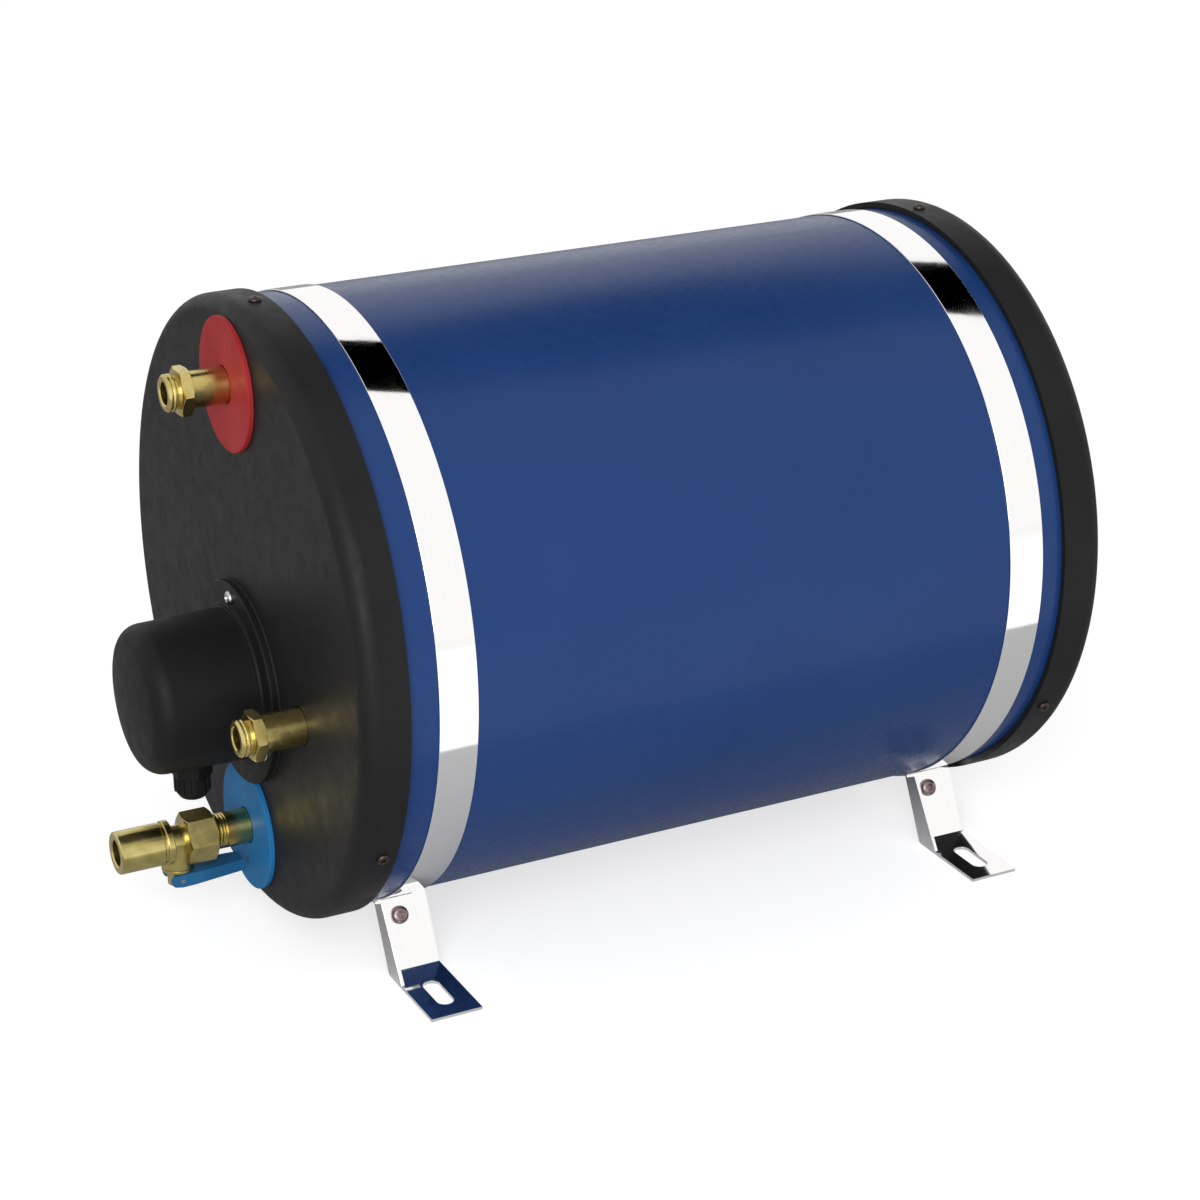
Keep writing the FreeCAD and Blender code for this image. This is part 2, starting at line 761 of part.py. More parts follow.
def cradle(node, strap_y):
    """Lower half of a mount: one strip bent into a saddle, two webs and two slotted feet."""
    body = new_body(node, (0, strap_y + foot_offset, 0), LEVEL)
    half = s.foot_width / 2
    saddle = new_sketch(body, "saddle_section", "YZ_Plane", (0, s.axis_height, 0))
    outline(saddle, [(-half, -foot_plate_radius), (half, -foot_plate_radius),
                     (half, -strap_inner_radius), (-half, -strap_inner_radius)])
    revolve(body, "saddle", saddle, "H_Axis", 2 * s.web_angle)
    slope = sine(s.web_angle) / cosine(s.web_angle)
    start = strap_inner_radius + s.foot_thickness / 2
    bend_x = (s.axis_height - s.foot_thickness) * slope
    heel_x = s.axis_height * slope - s.foot_thickness / cosine(s.web_angle)
    top = strap_inner_radius + s.foot_bend
    inset = s.foot_thickness / 2
    hole_y = (s.gusset_thickness + s.seat_gap) / 2 - foot_offset
    for hand, side in HANDS:
        strip = new_sketch(body, hand + "_web_side", "XZ_Plane", (0, 0, -half))
        outline(strip, [web_point(side, start, 0, s.axis_height), (bend_x * side, s.foot_thickness),
                        (s.foot_tip * side, s.foot_thickness), (s.foot_tip * side, 0),
                        (heel_x * side, 0), web_point(side, start, -s.foot_thickness, s.axis_height)])
        pad(body, hand + "_web_and_foot", strip, s.foot_width)
        gusset = new_sketch(body, hand + "_gusset_side", "XZ_Plane", (0, 0, half - s.gusset_thickness))
        outline(gusset, [web_point(side, top, -inset, s.axis_height),
                         web_point(side, top, s.gusset_top_width, s.axis_height),
                         ((bend_x + s.gusset_foot_width) * side, inset), (bend_x * side, inset)])
        pad(body, hand + "_gusset", gusset, s.gusset_thickness)
        x, z = web_point(side, bolt_along(), -s.foot_thickness * 2, s.axis_height)
        drill(body, hand + "_bolt_hole", s.strap_bolt_radius + s.screw_clearance, through(s.foot_thickness),
              (x, hole_y, z), bolt_turn(side))
        slot_sketch = new_sketch(body, hand + "_slot", "XY_Plane", (0, 0, s.foot_thickness))
        slot(slot_sketch, s.slot_spacing / 2 * side, s.slot_length / 2 - s.slot_radius, s.slot_radius)
        pocket(body, hand + "_foot_slot", slot_sketch, s.foot_thickness)
    heels = straights(body.Tip.Shape, heel_x, 0) + straights(body.Tip.Shape, -heel_x, 0)
    soften(body, "Fillet", "heel_bends", s.foot_bend, heels)
    bends = straights(body.Tip.Shape, bend_x, s.foot_thickness)
    bends += straights(body.Tip.Shape, -bend_x, s.foot_thickness)
    soften(body, "Fillet", "inner_bends", s.foot_bend / 2, bends)


def primitive(kind, name, sizes, base, turn):
    thing = doc.addObject("Part::" + kind, name)
    for prop, value in sizes.items():
        setattr(thing, prop, value if prop == "Polygon" else float(value))
        bind(thing, prop, value)
    put(thing, "Placement", base, turn)
    return thing


def combine(kind, name, base, tool):
    thing = doc.addObject("Part::" + kind, name)
    thing.Base = base
    thing.Tool = tool
    return thing


def group(node, members):
    """Equal fasteners in one node, each a solid of its own."""
    thing = doc.addObject("Part::Compound", node)
    thing.Label = node
    thing.Links = members
    doc.recompute()
    pieces.append(thing)


def bolt_spots():
    """Name, side and strap of each of the four bolts."""
    for end, strap_y in (("front", front_strap_y), ("rear", rear_strap_y)):
        for hand, side in HANDS:
            yield "%s_%s" % (end, hand), side, bolt_y(strap_y)


def bolt_base(side, y, aside):
    x, z = web_point(side, bolt_along(), aside, s.axis_height)
    return (x, y, z)


def strap_fasteners():
    bolts = []
    nuts = []
    under = -s.foot_thickness
    for name, side, y in bolt_spots():
        turn = bolt_turn(side)
        tip = s.strap_thickness - s.strap_bolt_length
        shank = primitive("Cylinder", "shank_" + name,
                          {"Radius": s.strap_bolt_radius, "Height": s.strap_bolt_length},
                          bolt_base(side, y, tip), turn)
        head = primitive("Cylinder", "head_" + name,
                         {"Radius": s.bolt_head_radius, "Height": s.bolt_head_height},
                         bolt_base(side, y, s.strap_thickness), turn)
        bolts.append(combine("Fuse", "bolt_" + name, head, shank))
        corner = s.strap_nut_flats / (2 * cosine(30))
        block = primitive("Prism", "nut_block_" + name,
                          {"Polygon": 6, "Circumradius": corner, "Height": s.strap_nut_height},
                          bolt_base(side, y, under - s.strap_nut_height), turn)
        thread = primitive("Cylinder", "nut_thread_" + name,
                           {"Radius": s.strap_bolt_radius + s.thread_clearance,
                            "Height": through(s.strap_nut_height)},
                           bolt_base(side, y, under - s.strap_nut_height * 2), turn)
        nuts.append(combine("Cut", "nut_" + name, block, thread))
    group("strap_bolts", bolts)
    group("strap_nuts", nuts)


def mounts():
    strap("front_strap", front_strap_y)
    strap("rear_strap", rear_strap_y)
    cradle("front_cradle", front_strap_y)
    cradle("rear_cradle", rear_strap_y)
    strap_fasteners()


# Tank, insulation and the tank's connections

def connections():
    """Places of the four pipe connections on the front, from the heater's axis."""
    return {
        "hot": (0, s.connection_radius),
        "cold": (0, -s.connection_radius),
        "coil_flow": (s.flow_across, s.flow_up),
        "coil_return": (s.return_across, s.return_up),
    }


def drum(body, name, radius, front, rear, cut=False):
    """A drum on the heater's axis, added to the body or cut out of it."""
    sketch = new_sketch(body, name + "_section", "XZ_Plane")
    outline(sketch, [(0, front), (radius, front), (radius, rear), (0, rear)])
    before = body.Tip.Shape.Volume if body.Tip else 0
    feature = add(body, "PartDesign::Groove" if cut else "PartDesign::Revolution", name)
    feature.Profile = sketch
    feature.ReferenceAxis = (sketch, ["V_Axis"])
    feature.Angle = 360
    doc.recompute()
    if cut:
        must_cut(body, before, name)


def inner_tank():
    """Welded steel tank with rounded ends."""
    body = new_body("inner_tank", at_face(), FRONT)
    inner = s.tank_radius - s.tank_wall
    inner_front = tank_front - s.tank_wall
    inner_rear = tank_rear + s.tank_wall
    drum(body, "shell", s.tank_radius, tank_front, tank_rear)
    drum(body, "inside", inner, inner_front, inner_rear, cut=True)
    fillet_rings(body, "inner_knuckles", s.tank_knuckle - s.tank_wall,
                 (inner, inner_front), (inner, inner_rear))
    fillet_rings(body, "outer_knuckles", s.tank_knuckle,
                 (s.tank_radius, tank_front), (s.tank_radius, tank_rear))
    depth = s.tank_knuckle + s.tank_wall
    for name, spot in connections().items():
        drill(body, name + "_hole", s.stub_radius + s.thread_clearance, depth,
              spot + (tank_front - s.tank_knuckle,))
    drill(body, "boss_hole", s.boss_radius + s.thread_clearance, through(s.tank_wall),
          (0, s.cover_up, tank_front - s.tank_wall * 2))


def foam_insulation():
    """The foam fills the space between the tank and the jacket and its caps."""
    radius = s.jacket_radius - s.jacket_wall - s.foam_gap
    front = -(s.cap_wall + s.foam_front_space)
    rear = -(body_length - s.cap_wall - s.foam_rear_space)
    body = turned("foam_insulation", at_face(), FRONT,
                  [(0, front), (radius, front), (radius, rear), (0, rear)])
    soften(body, "Chamfer", "rear_edge", s.cap_rounding, rings(body.Tip.Shape, radius, rear))
    space = s.tank_radius + s.foam_gap
    space_front = tank_front + s.foam_gap
    space_rear = tank_rear - s.foam_gap
    drum(body, "tank_space", space, space_front, space_rear, cut=True)
    fillet_rings(body, "space_knuckles", s.tank_knuckle + s.foam_gap,
                 (space, space_front), (space, space_rear))
    depth = s.tank_knuckle + s.end_insulation
    for name, spot in connections().items():
        drill(body, name + "_hole", s.stub_radius + s.foam_gap, depth,
              spot + (tank_front - s.tank_knuckle,))
    drill(body, "boss_hole", s.boss_radius + s.foam_gap, s.end_insulation * 2,
          (0, s.cover_up, -s.end_insulation * 2))
    screw_levels = (
        ("front", -(s.front_cap_depth - s.cap_screw_inset)),
        ("rear", -(body_length - s.rear_cap_depth + s.cap_screw_inset)),
    )
    tip = cap_outer_radius - s.cap_screw_length - s.screw_clearance
    for end, level in screw_levels:
        hole = drill(body, end + "_screw_hole", s.cap_screw_radius + s.screw_clearance,
                     s.cap_screw_length, (0, tip, level), ALONG_Y)
        polar(body, end + "_screw_holes", [hole], CAP_SCREWS)


def stub(node, spot):
    """A steel pipe stub welded into the tank's end, threaded inside at its mouth."""
    socket = s.nipple_radius + s.thread_clearance
    floor = stub_front - s.thread_depth
    turned(node, at_face(*spot), FRONT,
           [(s.water_bore_radius, stub_end), (s.stub_radius, stub_end), (s.stub_radius, stub_front),
            (socket, stub_front), (socket, floor), (s.water_bore_radius, floor)])


def nipple(node, spot):
    """Brass nipple: plain shank, hexagon collar, relief groove and threaded tip."""
    start = stub_front - s.thread_depth + s.seat_gap
    collar_end = s.nipple_shank + s.nipple_hexagon_height
    groove_end = collar_end + s.nipple_groove_width
    end = groove_end + s.nipple_tip_length
    body = turned(node, at_face(*spot), FRONT,
                  [(0, start), (s.nipple_radius, start), (s.nipple_radius, s.nipple_shank),
                   (s.nipple_groove_radius, s.nipple_shank), (s.nipple_groove_radius, groove_end),
                   (s.nipple_tip_radius, groove_end), (s.nipple_tip_radius, end), (0, end)])
    soften(body, "Chamfer", "lead_in", s.nipple_lead_in, rings(body.Tip.Shape, s.nipple_tip_radius, end))
    hexagon(body, "collar", s.nipple_hexagon, s.nipple_shank, s.nipple_hexagon_height)
    drill(body, "bore", s.water_bore_radius, end - start, (0, 0, start))


def marker_disc(node, spot):
    """Coloured plastic disc round a connection."""
    inner = s.nipple_radius + s.screw_clearance
    body = turned(node, at_face(*spot), FRONT,
                  [(inner, 0), (s.marker_radius, 0), (s.marker_radius, s.marker_thickness),
                   (inner, s.marker_thickness)])
    fillet_rings(body, "edge", s.marker_thickness * EDGE_SHARE, (s.marker_radius, s.marker_thickness))
    return body


def cold_marker():
    """The cold disc is notched round the flange of the element cover."""
    body = marker_disc("cold_marker_disc", (0, -s.connection_radius))
    drill(body, "flange_notch", s.cover_flange_radius + s.seat_gap, s.marker_thickness,
          (0, s.connection_radius + s.cover_up, 0))


def tank_and_connections():
    inner_tank()
    foam_insulation()
    spots = connections()
    for name, spot in spots.items():
        stub(name + "_stub", spot)
    for name in ("hot", "coil_flow", "coil_return"):
        nipple(name + "_nipple", spots[name])
    marker_disc("hot_marker_disc", spots["hot"])
    cold_marker()


# Round tubes and springs along tangent arcs

def arc_edge(start, way, end):
    """The arc from start, leaving along way, to end."""
    chord = end - start
    ahead = V(chord).normalize()
    side = way - ahead * way.dot(ahead)
    if side.Length < 1e-7:
        return Part.LineSegment(start, end).toShape()
    side.normalize()
    half_angle = math.acos(max(-1.0, min(1.0, way.dot(ahead)))) / 2
    middle = start + chord * 0.5 + side * (chord.Length / 2 * math.tan(half_angle))
    return Part.Arc(start, middle, end).toShape()


def biarc(start, start_way, end, end_way):
    """Two tangent arcs that join two points with given directions."""
    reach = end - start
    lean = reach.dot(start_way + end_way)
    spread = 2 * (1 - start_way.dot(end_way))
    if spread < 1e-9:
        step = reach.dot(reach) / (2 * lean)
    else:
        step = (math.sqrt(lean * lean + spread * reach.dot(reach)) - lean) / spread
    meeting = (start + start_way * step + end - end_way * step) * 0.5
    way = (end - end_way * step - start - start_way * step).normalize()
    return [arc_edge(start, start_way, meeting), arc_edge(meeting, way, end)]


def tube_path(stations):
    """Edges through stations of point and direction: straight in line, biarcs elsewhere."""
    edges = []
    for (start, start_way), (end, end_way) in zip(stations, stations[1:]):
        ahead = (end - start).normalize()
        if ahead.dot(start_way) > 1 - 1e-9 and ahead.dot(end_way) > 1 - 1e-9:
            edges.append(Part.LineSegment(start, end).toShape())
        else:
            edges += biarc(start, start_way, end, end_way)
    return edges


def least_gap(edges, radius):
    """Smallest distance between turns of a tube, measured on points along its path."""
    points = []
    travelled = 0.0
    for edge in edges:
        count = max(2, int(edge.Length / radius))
        for point in edge.discretize(count)[:-1]:
            points.append((travelled, point))
            travelled += edge.Length / (count - 1)
    least = math.inf
    for index, (here, point) in enumerate(points):
        for there, other in points[index + 1:]:
            if there - here > 8 * radius:
                least = min(least, (other - point).Length - 2 * radius)
    return least


def tube(node, stations, radius, base, turn):
    """One unbroken round tube or wire along its stations."""
    edges = tube_path(stations)
    path = Part.Wire(edges)
    section = Part.Wire([Part.Circle(stations[0][0], stations[0][1], float(radius)).toShape()])
    piece = doc.addObject("Part::Feature", node)
    piece.Label = node
    piece.Shape = path.makePipeShell([section], True, False)
    put(piece, "Placement", base, turn)
    doc.recompute()
    pieces.append(piece)
    gap = least_gap(edges, float(radius))
    print("%s: length %.1f, least gap to itself %.2f" % (node, path.Length, gap))


def helix_stations(radius, pitch, start_angle, turns, start_height, way):
    """Points and directions every half turn of a helix on the Z axis."""
    stations = []
    count = math.ceil(turns * 2)
    for index in range(count + 1):
        turned_by = 2 * math.pi * turns * index / count
        angle = math.radians(start_angle) + way * turned_by
        point = V(radius * math.cos(angle), radius * math.sin(angle),
                  start_height + pitch * turned_by / (2 * math.pi))
        step = V(-radius * math.sin(angle) * way, radius * math.cos(angle) * way, pitch / (2 * math.pi))
        stations.append((point, step.normalize()))
    return stations


def exchanger_coil():
    """Coil for the engine's or boiler's hot water, between its two stubs in the tank."""
    inwards = V(0, 0, -1)
    radius = math.hypot(s.flow_across, s.flow_up)
    flow_angle = math.degrees(math.atan2(s.flow_up, s.flow_across))
    return_angle = math.degrees(math.atan2(s.return_up, s.return_across))
    start = float(stub_end + s.coil_insertion)
    head = float(tank_front - s.coil_start - s.coil_insertion)
    lead = float(s.coil_lead_angle)
    part_turn = (return_angle - flow_angle - 2 * lead) % 360 / 360
    turns = float(s.coil_whole_turns) + part_turn - lead / 360
    top = head - float(s.coil_lead_depth)
    coil = helix_stations(radius, -float(s.coil_pitch), flow_angle + lead, turns, top, 1)
    flow_point = V(float(s.flow_across), float(s.flow_up), 0)
    return_point = V(float(s.return_across), float(s.return_up), 0)
    stations = [(flow_point + V(0, 0, start), inwards), (flow_point + V(0, 0, head), inwards)]
    stations += coil
    bottom = coil[-1][0].z
    stations += [(return_point + V(0, 0, bottom), V(0, 0, 1)), (return_point + V(0, 0, start), V(0, 0, 1))]
    tube("exchanger_coil", stations, s.coil_tube_radius, at_face(), FRONT)


# Immersion heater, thermostat and terminals

def element_boss():
    inner = -(s.end_insulation + s.boss_inside)
    turned("element_boss", at_face(0, s.cover_up), FRONT,
           [(s.boss_bore_radius, inner), (s.boss_radius, inner), (s.boss_radius, -s.boss_outer_end),
            (s.boss_bore_radius, -s.boss_outer_end)])


def element_gasket():
    inner = s.boss_bore_radius + s.thread_clearance
    turned("element_gasket", at_face(0, s.cover_up), FRONT,
           [(inner, -s.boss_outer_end), (s.boss_radius, -s.boss_outer_end), (s.boss_radius, plug_seat),
            (inner, plug_seat)])


def element_plug():
    """Brass plug that carries the heating rods and the thermostat pocket."""
    shank = s.boss_bore_radius - s.thread_clearance
    end = plug_seat - s.plug_shank
    body = turned("element_plug", at_face(0, s.cover_up), FRONT,
                  [(0, end), (shank, end), (shank, plug_face), (0, plug_face)])
    hexagon(body, "head", s.plug_hexagon, plug_seat, s.plug_head_height)
    length = plug_face - end
    for name, across in (("left", -s.rod_spread), ("right", s.rod_spread)):
        drill(body, name + "_rod_hole", s.rod_radius + s.thread_clearance, length,
              (across, -s.rod_down, end))
    drill(body, "pocket_hole", s.pocket_radius + s.thread_clearance, length, (0, s.pocket_up, end))


def heating_element():
    """Sheathed rod bent into one long hairpin, its pins standing out of the plug."""
    outwards = V(0, 0, 1)
    pin_end = float(plug_face + s.rod_pin_length)
    deep = float(plug_face - s.rod_depth)
    spread = float(s.rod_spread)
    down = -float(s.rod_down)
    bend = [(V(-spread, down, deep), -outwards), (V(spread, down, deep), outwards)]
    stations = [(V(-spread, down, pin_end), -outwards)] + bend + [(V(spread, down, pin_end), outwards)]
    tube("heating_element", stations, s.rod_radius, at_face(0, s.cover_up), FRONT)


def thermostat_pocket():
    """Thin closed tube that keeps the probe dry."""
    end = plug_face - s.pocket_depth
    inner = s.pocket_radius - s.pocket_wall
    turned("thermostat_pocket", at_face(0, s.cover_up + s.pocket_up), FRONT,
           [(0, end), (s.pocket_radius, end), (s.pocket_radius, plug_face), (inner, plug_face),
            (inner, end + s.pocket_wall), (0, end + s.pocket_wall)])


def thermostat_body():
    body = new_body("thermostat_body", at_face(0, s.cover_up + s.pocket_up), FRONT)
    box(body, "Additive", "case", (s.thermostat_width, s.thermostat_height, s.thermostat_depth),
        (-(s.thermostat_width / 2), -(s.thermostat_height / 2), plug_face))
    boss(body, "probe", s.probe_radius, s.probe_length + s.thermostat_depth / 2,
         (0, 0, plug_face - s.probe_length))
    top = plug_face + s.thermostat_depth
    drill(body, "dial_bearing", s.dial_shaft_radius + s.shaft_clearance, s.dial_shaft_length + s.dial_gap,
          (s.dial_across, 0, top - s.dial_shaft_length - s.dial_gap))
    drill(body, "button_hole", s.button_radius + s.shaft_clearance,
          s.button_depth + s.button_travel + s.seat_gap,
          (s.button_across, 0, top - s.button_depth - s.button_travel - s.seat_gap))


def thermostat_dial():
    """Temperature knob with a grip bar across it, on a short shaft."""
    start = plug_face + s.thermostat_depth + s.dial_gap
    end = start + s.dial_thickness
    plate = start + s.dial_plate
    shaft_end = plug_face + s.thermostat_depth - s.dial_shaft_length
    body = turned("thermostat_dial", at_face(s.dial_across, s.cover_up + s.pocket_up), FRONT,
                  [(0, shaft_end), (s.dial_shaft_radius, shaft_end), (s.dial_shaft_radius, start),
                   (s.dial_radius, start), (s.dial_radius, plate), (0, plate)])
    box(body, "Additive", "grip", (s.dial_grip_width, s.dial_grip_length, end - plate),
        (-(s.dial_grip_width / 2), -(s.dial_grip_length / 2), plate))


def reset_button():
    top = plug_face + s.thermostat_depth
    turned("reset_button", at_face(s.button_across, s.cover_up + s.pocket_up), FRONT,
           [(0, top - s.button_depth), (s.button_radius, top - s.button_depth),
            (s.button_radius, top + s.button_height), (0, top + s.button_height)])


def terminal_block():
    body = new_body("terminal_block", at_face(0, s.cover_up - s.rod_down), FRONT)
    box(body, "Additive", "block", (s.terminal_width, s.terminal_height, s.terminal_depth),
        (-(s.terminal_width / 2), -(s.terminal_height / 2), plug_face))
    for name, across in (("left", -s.rod_spread), ("right", s.rod_spread)):
        drill(body, name + "_pin_hole", s.rod_radius + s.thread_clearance, s.rod_pin_length + s.seat_gap,
              (across, 0, plug_face))
        drill(body, name + "_wire_hole", s.wire_hole_radius, s.terminal_height,
              (across, 0, plug_face + s.terminal_depth - s.rod_radius), AGAINST_Y)


def immersion_heater():
    element_boss()
    element_gasket()
    element_plug()
    heating_element()
    thermostat_pocket()
    thermostat_body()
    thermostat_dial()
    reset_button()
    terminal_block()


# Cover over the immersion heater, with its gasket, screws and cable gland

def cover_gasket():
    body = turned("cover_gasket", at_face(0, s.cover_up), FRONT,
                  [(s.cup_radius, 0), (s.cover_flange_radius, 0), (s.cover_flange_radius, cover_seat),
                   (s.cup_radius, cover_seat)])
    hole = drill(body, "screw_hole", s.cover_screw_radius + s.screw_clearance, s.cover_gasket_thickness,
                 (0, s.cover_screw_circle, 0))
    polar(body, "screw_holes", [hole], COVER_SCREWS)


def element_cover():
    """Moulded cup with a crowned end on a round flange."""
    flange_top = cover_seat + s.cover_flange_thickness
    shoulder = s.cup_radius - s.cup_draft
    inner = s.cup_radius - s.cup_wall
    inner_shoulder = shoulder - s.cup_wall
    crown = s.cup_shoulder + s.cup_crown
    points = [(s.cover_flange_radius, cover_seat), (s.cover_flange_radius, flange_top),
              (s.cup_radius, flange_top), (shoulder, s.cup_shoulder), (0, crown),
              (0, crown - s.cup_wall), (inner_shoulder, s.cup_shoulder - s.cup_wall),
              (inner, cover_seat)]
    body = turned("element_cover", at_face(0, s.cover_up), FRONT, points, domes=(3, 5))
    fillet_rings(body, "outer_edge", s.cup_rounding, (shoulder, s.cup_shoulder))
    fillet_rings(body, "inner_edge", s.cup_rounding - s.cup_wall,
                 (inner_shoulder, s.cup_shoulder - s.cup_wall))
    fillet_rings(body, "flange_edge", s.cover_flange_thickness * EDGE_SHARE,
                 (s.cover_flange_radius, flange_top))
    hole = drill(body, "screw_hole", s.cover_screw_radius + s.screw_clearance,
                 s.cover_flange_thickness * 2, (0, s.cover_screw_circle, cover_seat / 2))
    polar(body, "screw_holes", [hole], COVER_SCREWS)
    boss(body, "gland_pad", s.gland_pad_radius, s.gland_pad_outer - s.gland_pad_inner,
         (0, -s.gland_pad_inner, s.gland_height), AGAINST_Y)
    drill(body, "gland_hole", s.gland_thread_radius + s.screw_clearance,
          (s.gland_pad_outer - s.gland_pad_inner) * 2,
          (0, -s.gland_pad_inner + (s.gland_pad_outer - s.gland_pad_inner) / 2, s.gland_height), AGAINST_Y)


def cover_screws():
    """Three pan-head screws through the flange into the cap's pillars."""
    body = new_body("cover_screws", at_face(0, s.cover_up), FRONT)
    seat = cover_seat + s.cover_flange_thickness
    head = seat + s.cover_screw_head_height
    tip = -(s.cap_wall + s.pillar_height - s.seat_gap)
    sketch = new_sketch(body, "section", "YZ_Plane", (s.cover_screw_circle, 0, 0))
    outline(sketch, [(0, tip), (s.cover_screw_radius, tip), (s.cover_screw_radius, seat),
                     (s.cover_screw_head_radius, seat), (s.cover_screw_head_radius, head), (0, head)])
    screw = revolve(body, "screw", sketch)
    polar(body, "screws", [screw], COVER_SCREWS)


def below_cover():
    """The gland's axis: its Z runs down from the cover's centre."""
    return (0, front_face_y - s.gland_height, s.axis_height + s.cover_up)


def gland_body():
    start = s.gland_pad_inner - s.locknut_height - s.gland_thread_stand
    body = turned("gland_body", below_cover(), DOWN,
                  [(0, start), (s.gland_thread_radius, start),
                   (s.gland_thread_radius, s.gland_thread_end), (0, s.gland_thread_end)])
    hexagon(body, "collar", s.gland_hexagon, s.gland_pad_outer, s.gland_hexagon_height)
    drill(body, "bore", s.gland_bore_radius, s.gland_thread_end - start, (0, 0, start))


def gland_locknut():
    body = new_body("gland_locknut", below_cover(), DOWN)
    start = s.gland_pad_inner - s.locknut_height
    hexagon(body, "block", s.locknut_hexagon, start, s.locknut_height)
    drill(body, "thread", s.gland_thread_radius + s.thread_clearance, s.locknut_height, (0, 0, start))


def gland_nut():
    """Domed nut that squeezes the seal round a cable."""
    start = s.gland_pad_outer + s.gland_hexagon_height + s.seat_gap
    end = start + s.gland_nut_length
    inner = s.gland_thread_radius + s.thread_clearance
    ceiling = s.gland_thread_end + s.gland_seal_thickness + s.seat_gap
    body = turned("gland_nut", below_cover(), DOWN,
                  [(inner, start), (s.gland_nut_radius, start), (s.gland_nut_radius, end),
                   (s.gland_bore_radius, end), (s.gland_bore_radius, ceiling), (inner, ceiling)])
    fillet_rings(body, "dome", s.gland_nut_radius * EDGE_SHARE, (s.gland_nut_radius, end))


def gland_seal():
    start = s.gland_thread_end + s.seat_gap / 2
    end = start + s.gland_seal_thickness
    outer = s.gland_thread_radius - s.seat_gap
    turned("gland_seal", below_cover(), DOWN,
           [(s.gland_seal_radius, start), (outer, start), (outer, end), (s.gland_seal_radius, end)])


def cover_and_gland():
    cover_gasket()
    element_cover()
    cover_screws()
    gland_body()
    gland_locknut()
    gland_nut()
    gland_seal()


# Safety valve with its check valve, relief valve and lever

def at_valve():
    return at_face(0, -s.connection_radius)


def cold_nipple():
    start = stub_front - s.thread_depth + s.seat_gap
    end = valve_socket_end - s.seat_gap
    turned("cold_nipple", at_valve(), FRONT,
           [(s.water_bore_radius, start), (s.valve_nipple_radius, start), (s.valve_nipple_radius, end),
            (s.water_bore_radius, end)])


def valve_body():
    """Cast body: hexagon socket, neck with the relief branch, ring and inlet."""
    body = turned("valve_body", at_valve(), FRONT,
                  [(0, s.valve_start), (s.valve_base_radius, s.valve_start),
                   (s.valve_base_radius, valve_hexagon_end), (s.valve_neck_radius, valve_hexagon_end),
                   (s.valve_neck_radius, valve_ring_start), (s.valve_ring_radius, valve_ring_start),
                   (s.valve_ring_radius, inlet_start), (s.inlet_radius, inlet_start),
                   (s.inlet_radius, inlet_end), (0, inlet_end)])
    hexagon(body, "hexagon", s.valve_hexagon, s.valve_start, s.valve_hexagon_length)
    boss(body, "branch", s.branch_radius, s.branch_length, (0, 0, s.branch_height), AGAINST_Y)
    boss(body, "drain_neck", s.drain_neck_radius, s.drain_neck_end, (0, -s.drain_drop, s.branch_height),
         AGAINST_X)
    boss(body, "drain", s.drain_radius, s.drain_length - s.drain_neck_end,
         (-s.drain_neck_end, -s.drain_drop, s.branch_height), AGAINST_X)
    drill(body, "socket", s.valve_nipple_radius + s.thread_clearance, s.valve_socket_depth,
          (0, 0, s.valve_start))
    drill(body, "chamber", s.chamber_radius, chamber_end - valve_socket_end, (0, 0, valve_socket_end))
    drill(body, "check_seat", s.check_seat_radius, s.check_seat_thickness * 2,
          (0, 0, chamber_end - s.check_seat_thickness / 2))
    drill(body, "inlet_bore", s.inlet_bore_radius, s.inlet_bore_depth, (0, 0, check_seat_front))
    drill(body, "relief_seat", s.relief_seat_radius, s.relief_seat, (0, 0, s.branch_height), AGAINST_Y)
    drill(body, "relief_cavity", s.relief_cavity_radius, s.branch_length - s.relief_seat,
          (0, -s.relief_seat, s.branch_height), AGAINST_Y)
    drain_start = s.relief_cavity_radius - s.cut_margin
    drill(body, "drain_bore", s.drain_bore_radius, s.drain_length - drain_start,
          (-drain_start, -s.drain_drop, s.branch_height), AGAINST_X)


def below_valve():
    """The relief valve's axis: its Z runs down from the valve's axis."""
    return (0, front_face_y - s.branch_height, s.axis_height - s.connection_radius)


def valve_bonnet():
    hole = s.relief_rod_radius + s.shaft_clearance
    body = turned("valve_bonnet", below_valve(), DOWN,
                  [(s.relief_cavity_radius, s.branch_length), (s.branch_radius, s.branch_length),
                   (s.branch_radius, bonnet_end), (hole, bonnet_end), (hole, bonnet_ceiling),
                   (s.relief_cavity_radius, bonnet_ceiling)])
    soften(body, "Chamfer", "edge", s.bonnet_thickness * EDGE_SHARE,
           rings(body.Tip.Shape, s.branch_radius, bonnet_end))


def relief_washer():
    turned("relief_washer", below_valve(), DOWN,
           [(0, washer_start), (s.relief_washer_radius, washer_start),
            (s.relief_washer_radius, disc_start), (0, disc_start)])


def relief_spindle():
    """Disc, rod and cross-drilled head in one piece."""
    head_end = head_start + s.relief_head_height
    body = turned("relief_spindle", below_valve(), DOWN,
                  [(0, disc_start), (s.relief_disc_radius, disc_start), (s.relief_disc_radius, disc_end),
                   (s.relief_rod_radius, disc_end), (s.relief_rod_radius, head_start),
                   (s.relief_head_radius, head_start), (s.relief_head_radius, head_end), (0, head_end)])
    drill(body, "pin_hole", s.lever_pin_radius + s.shaft_clearance, s.relief_head_radius * 4,
          (-s.relief_head_radius * 2, 0, lever_pin_at), ALONG_X)


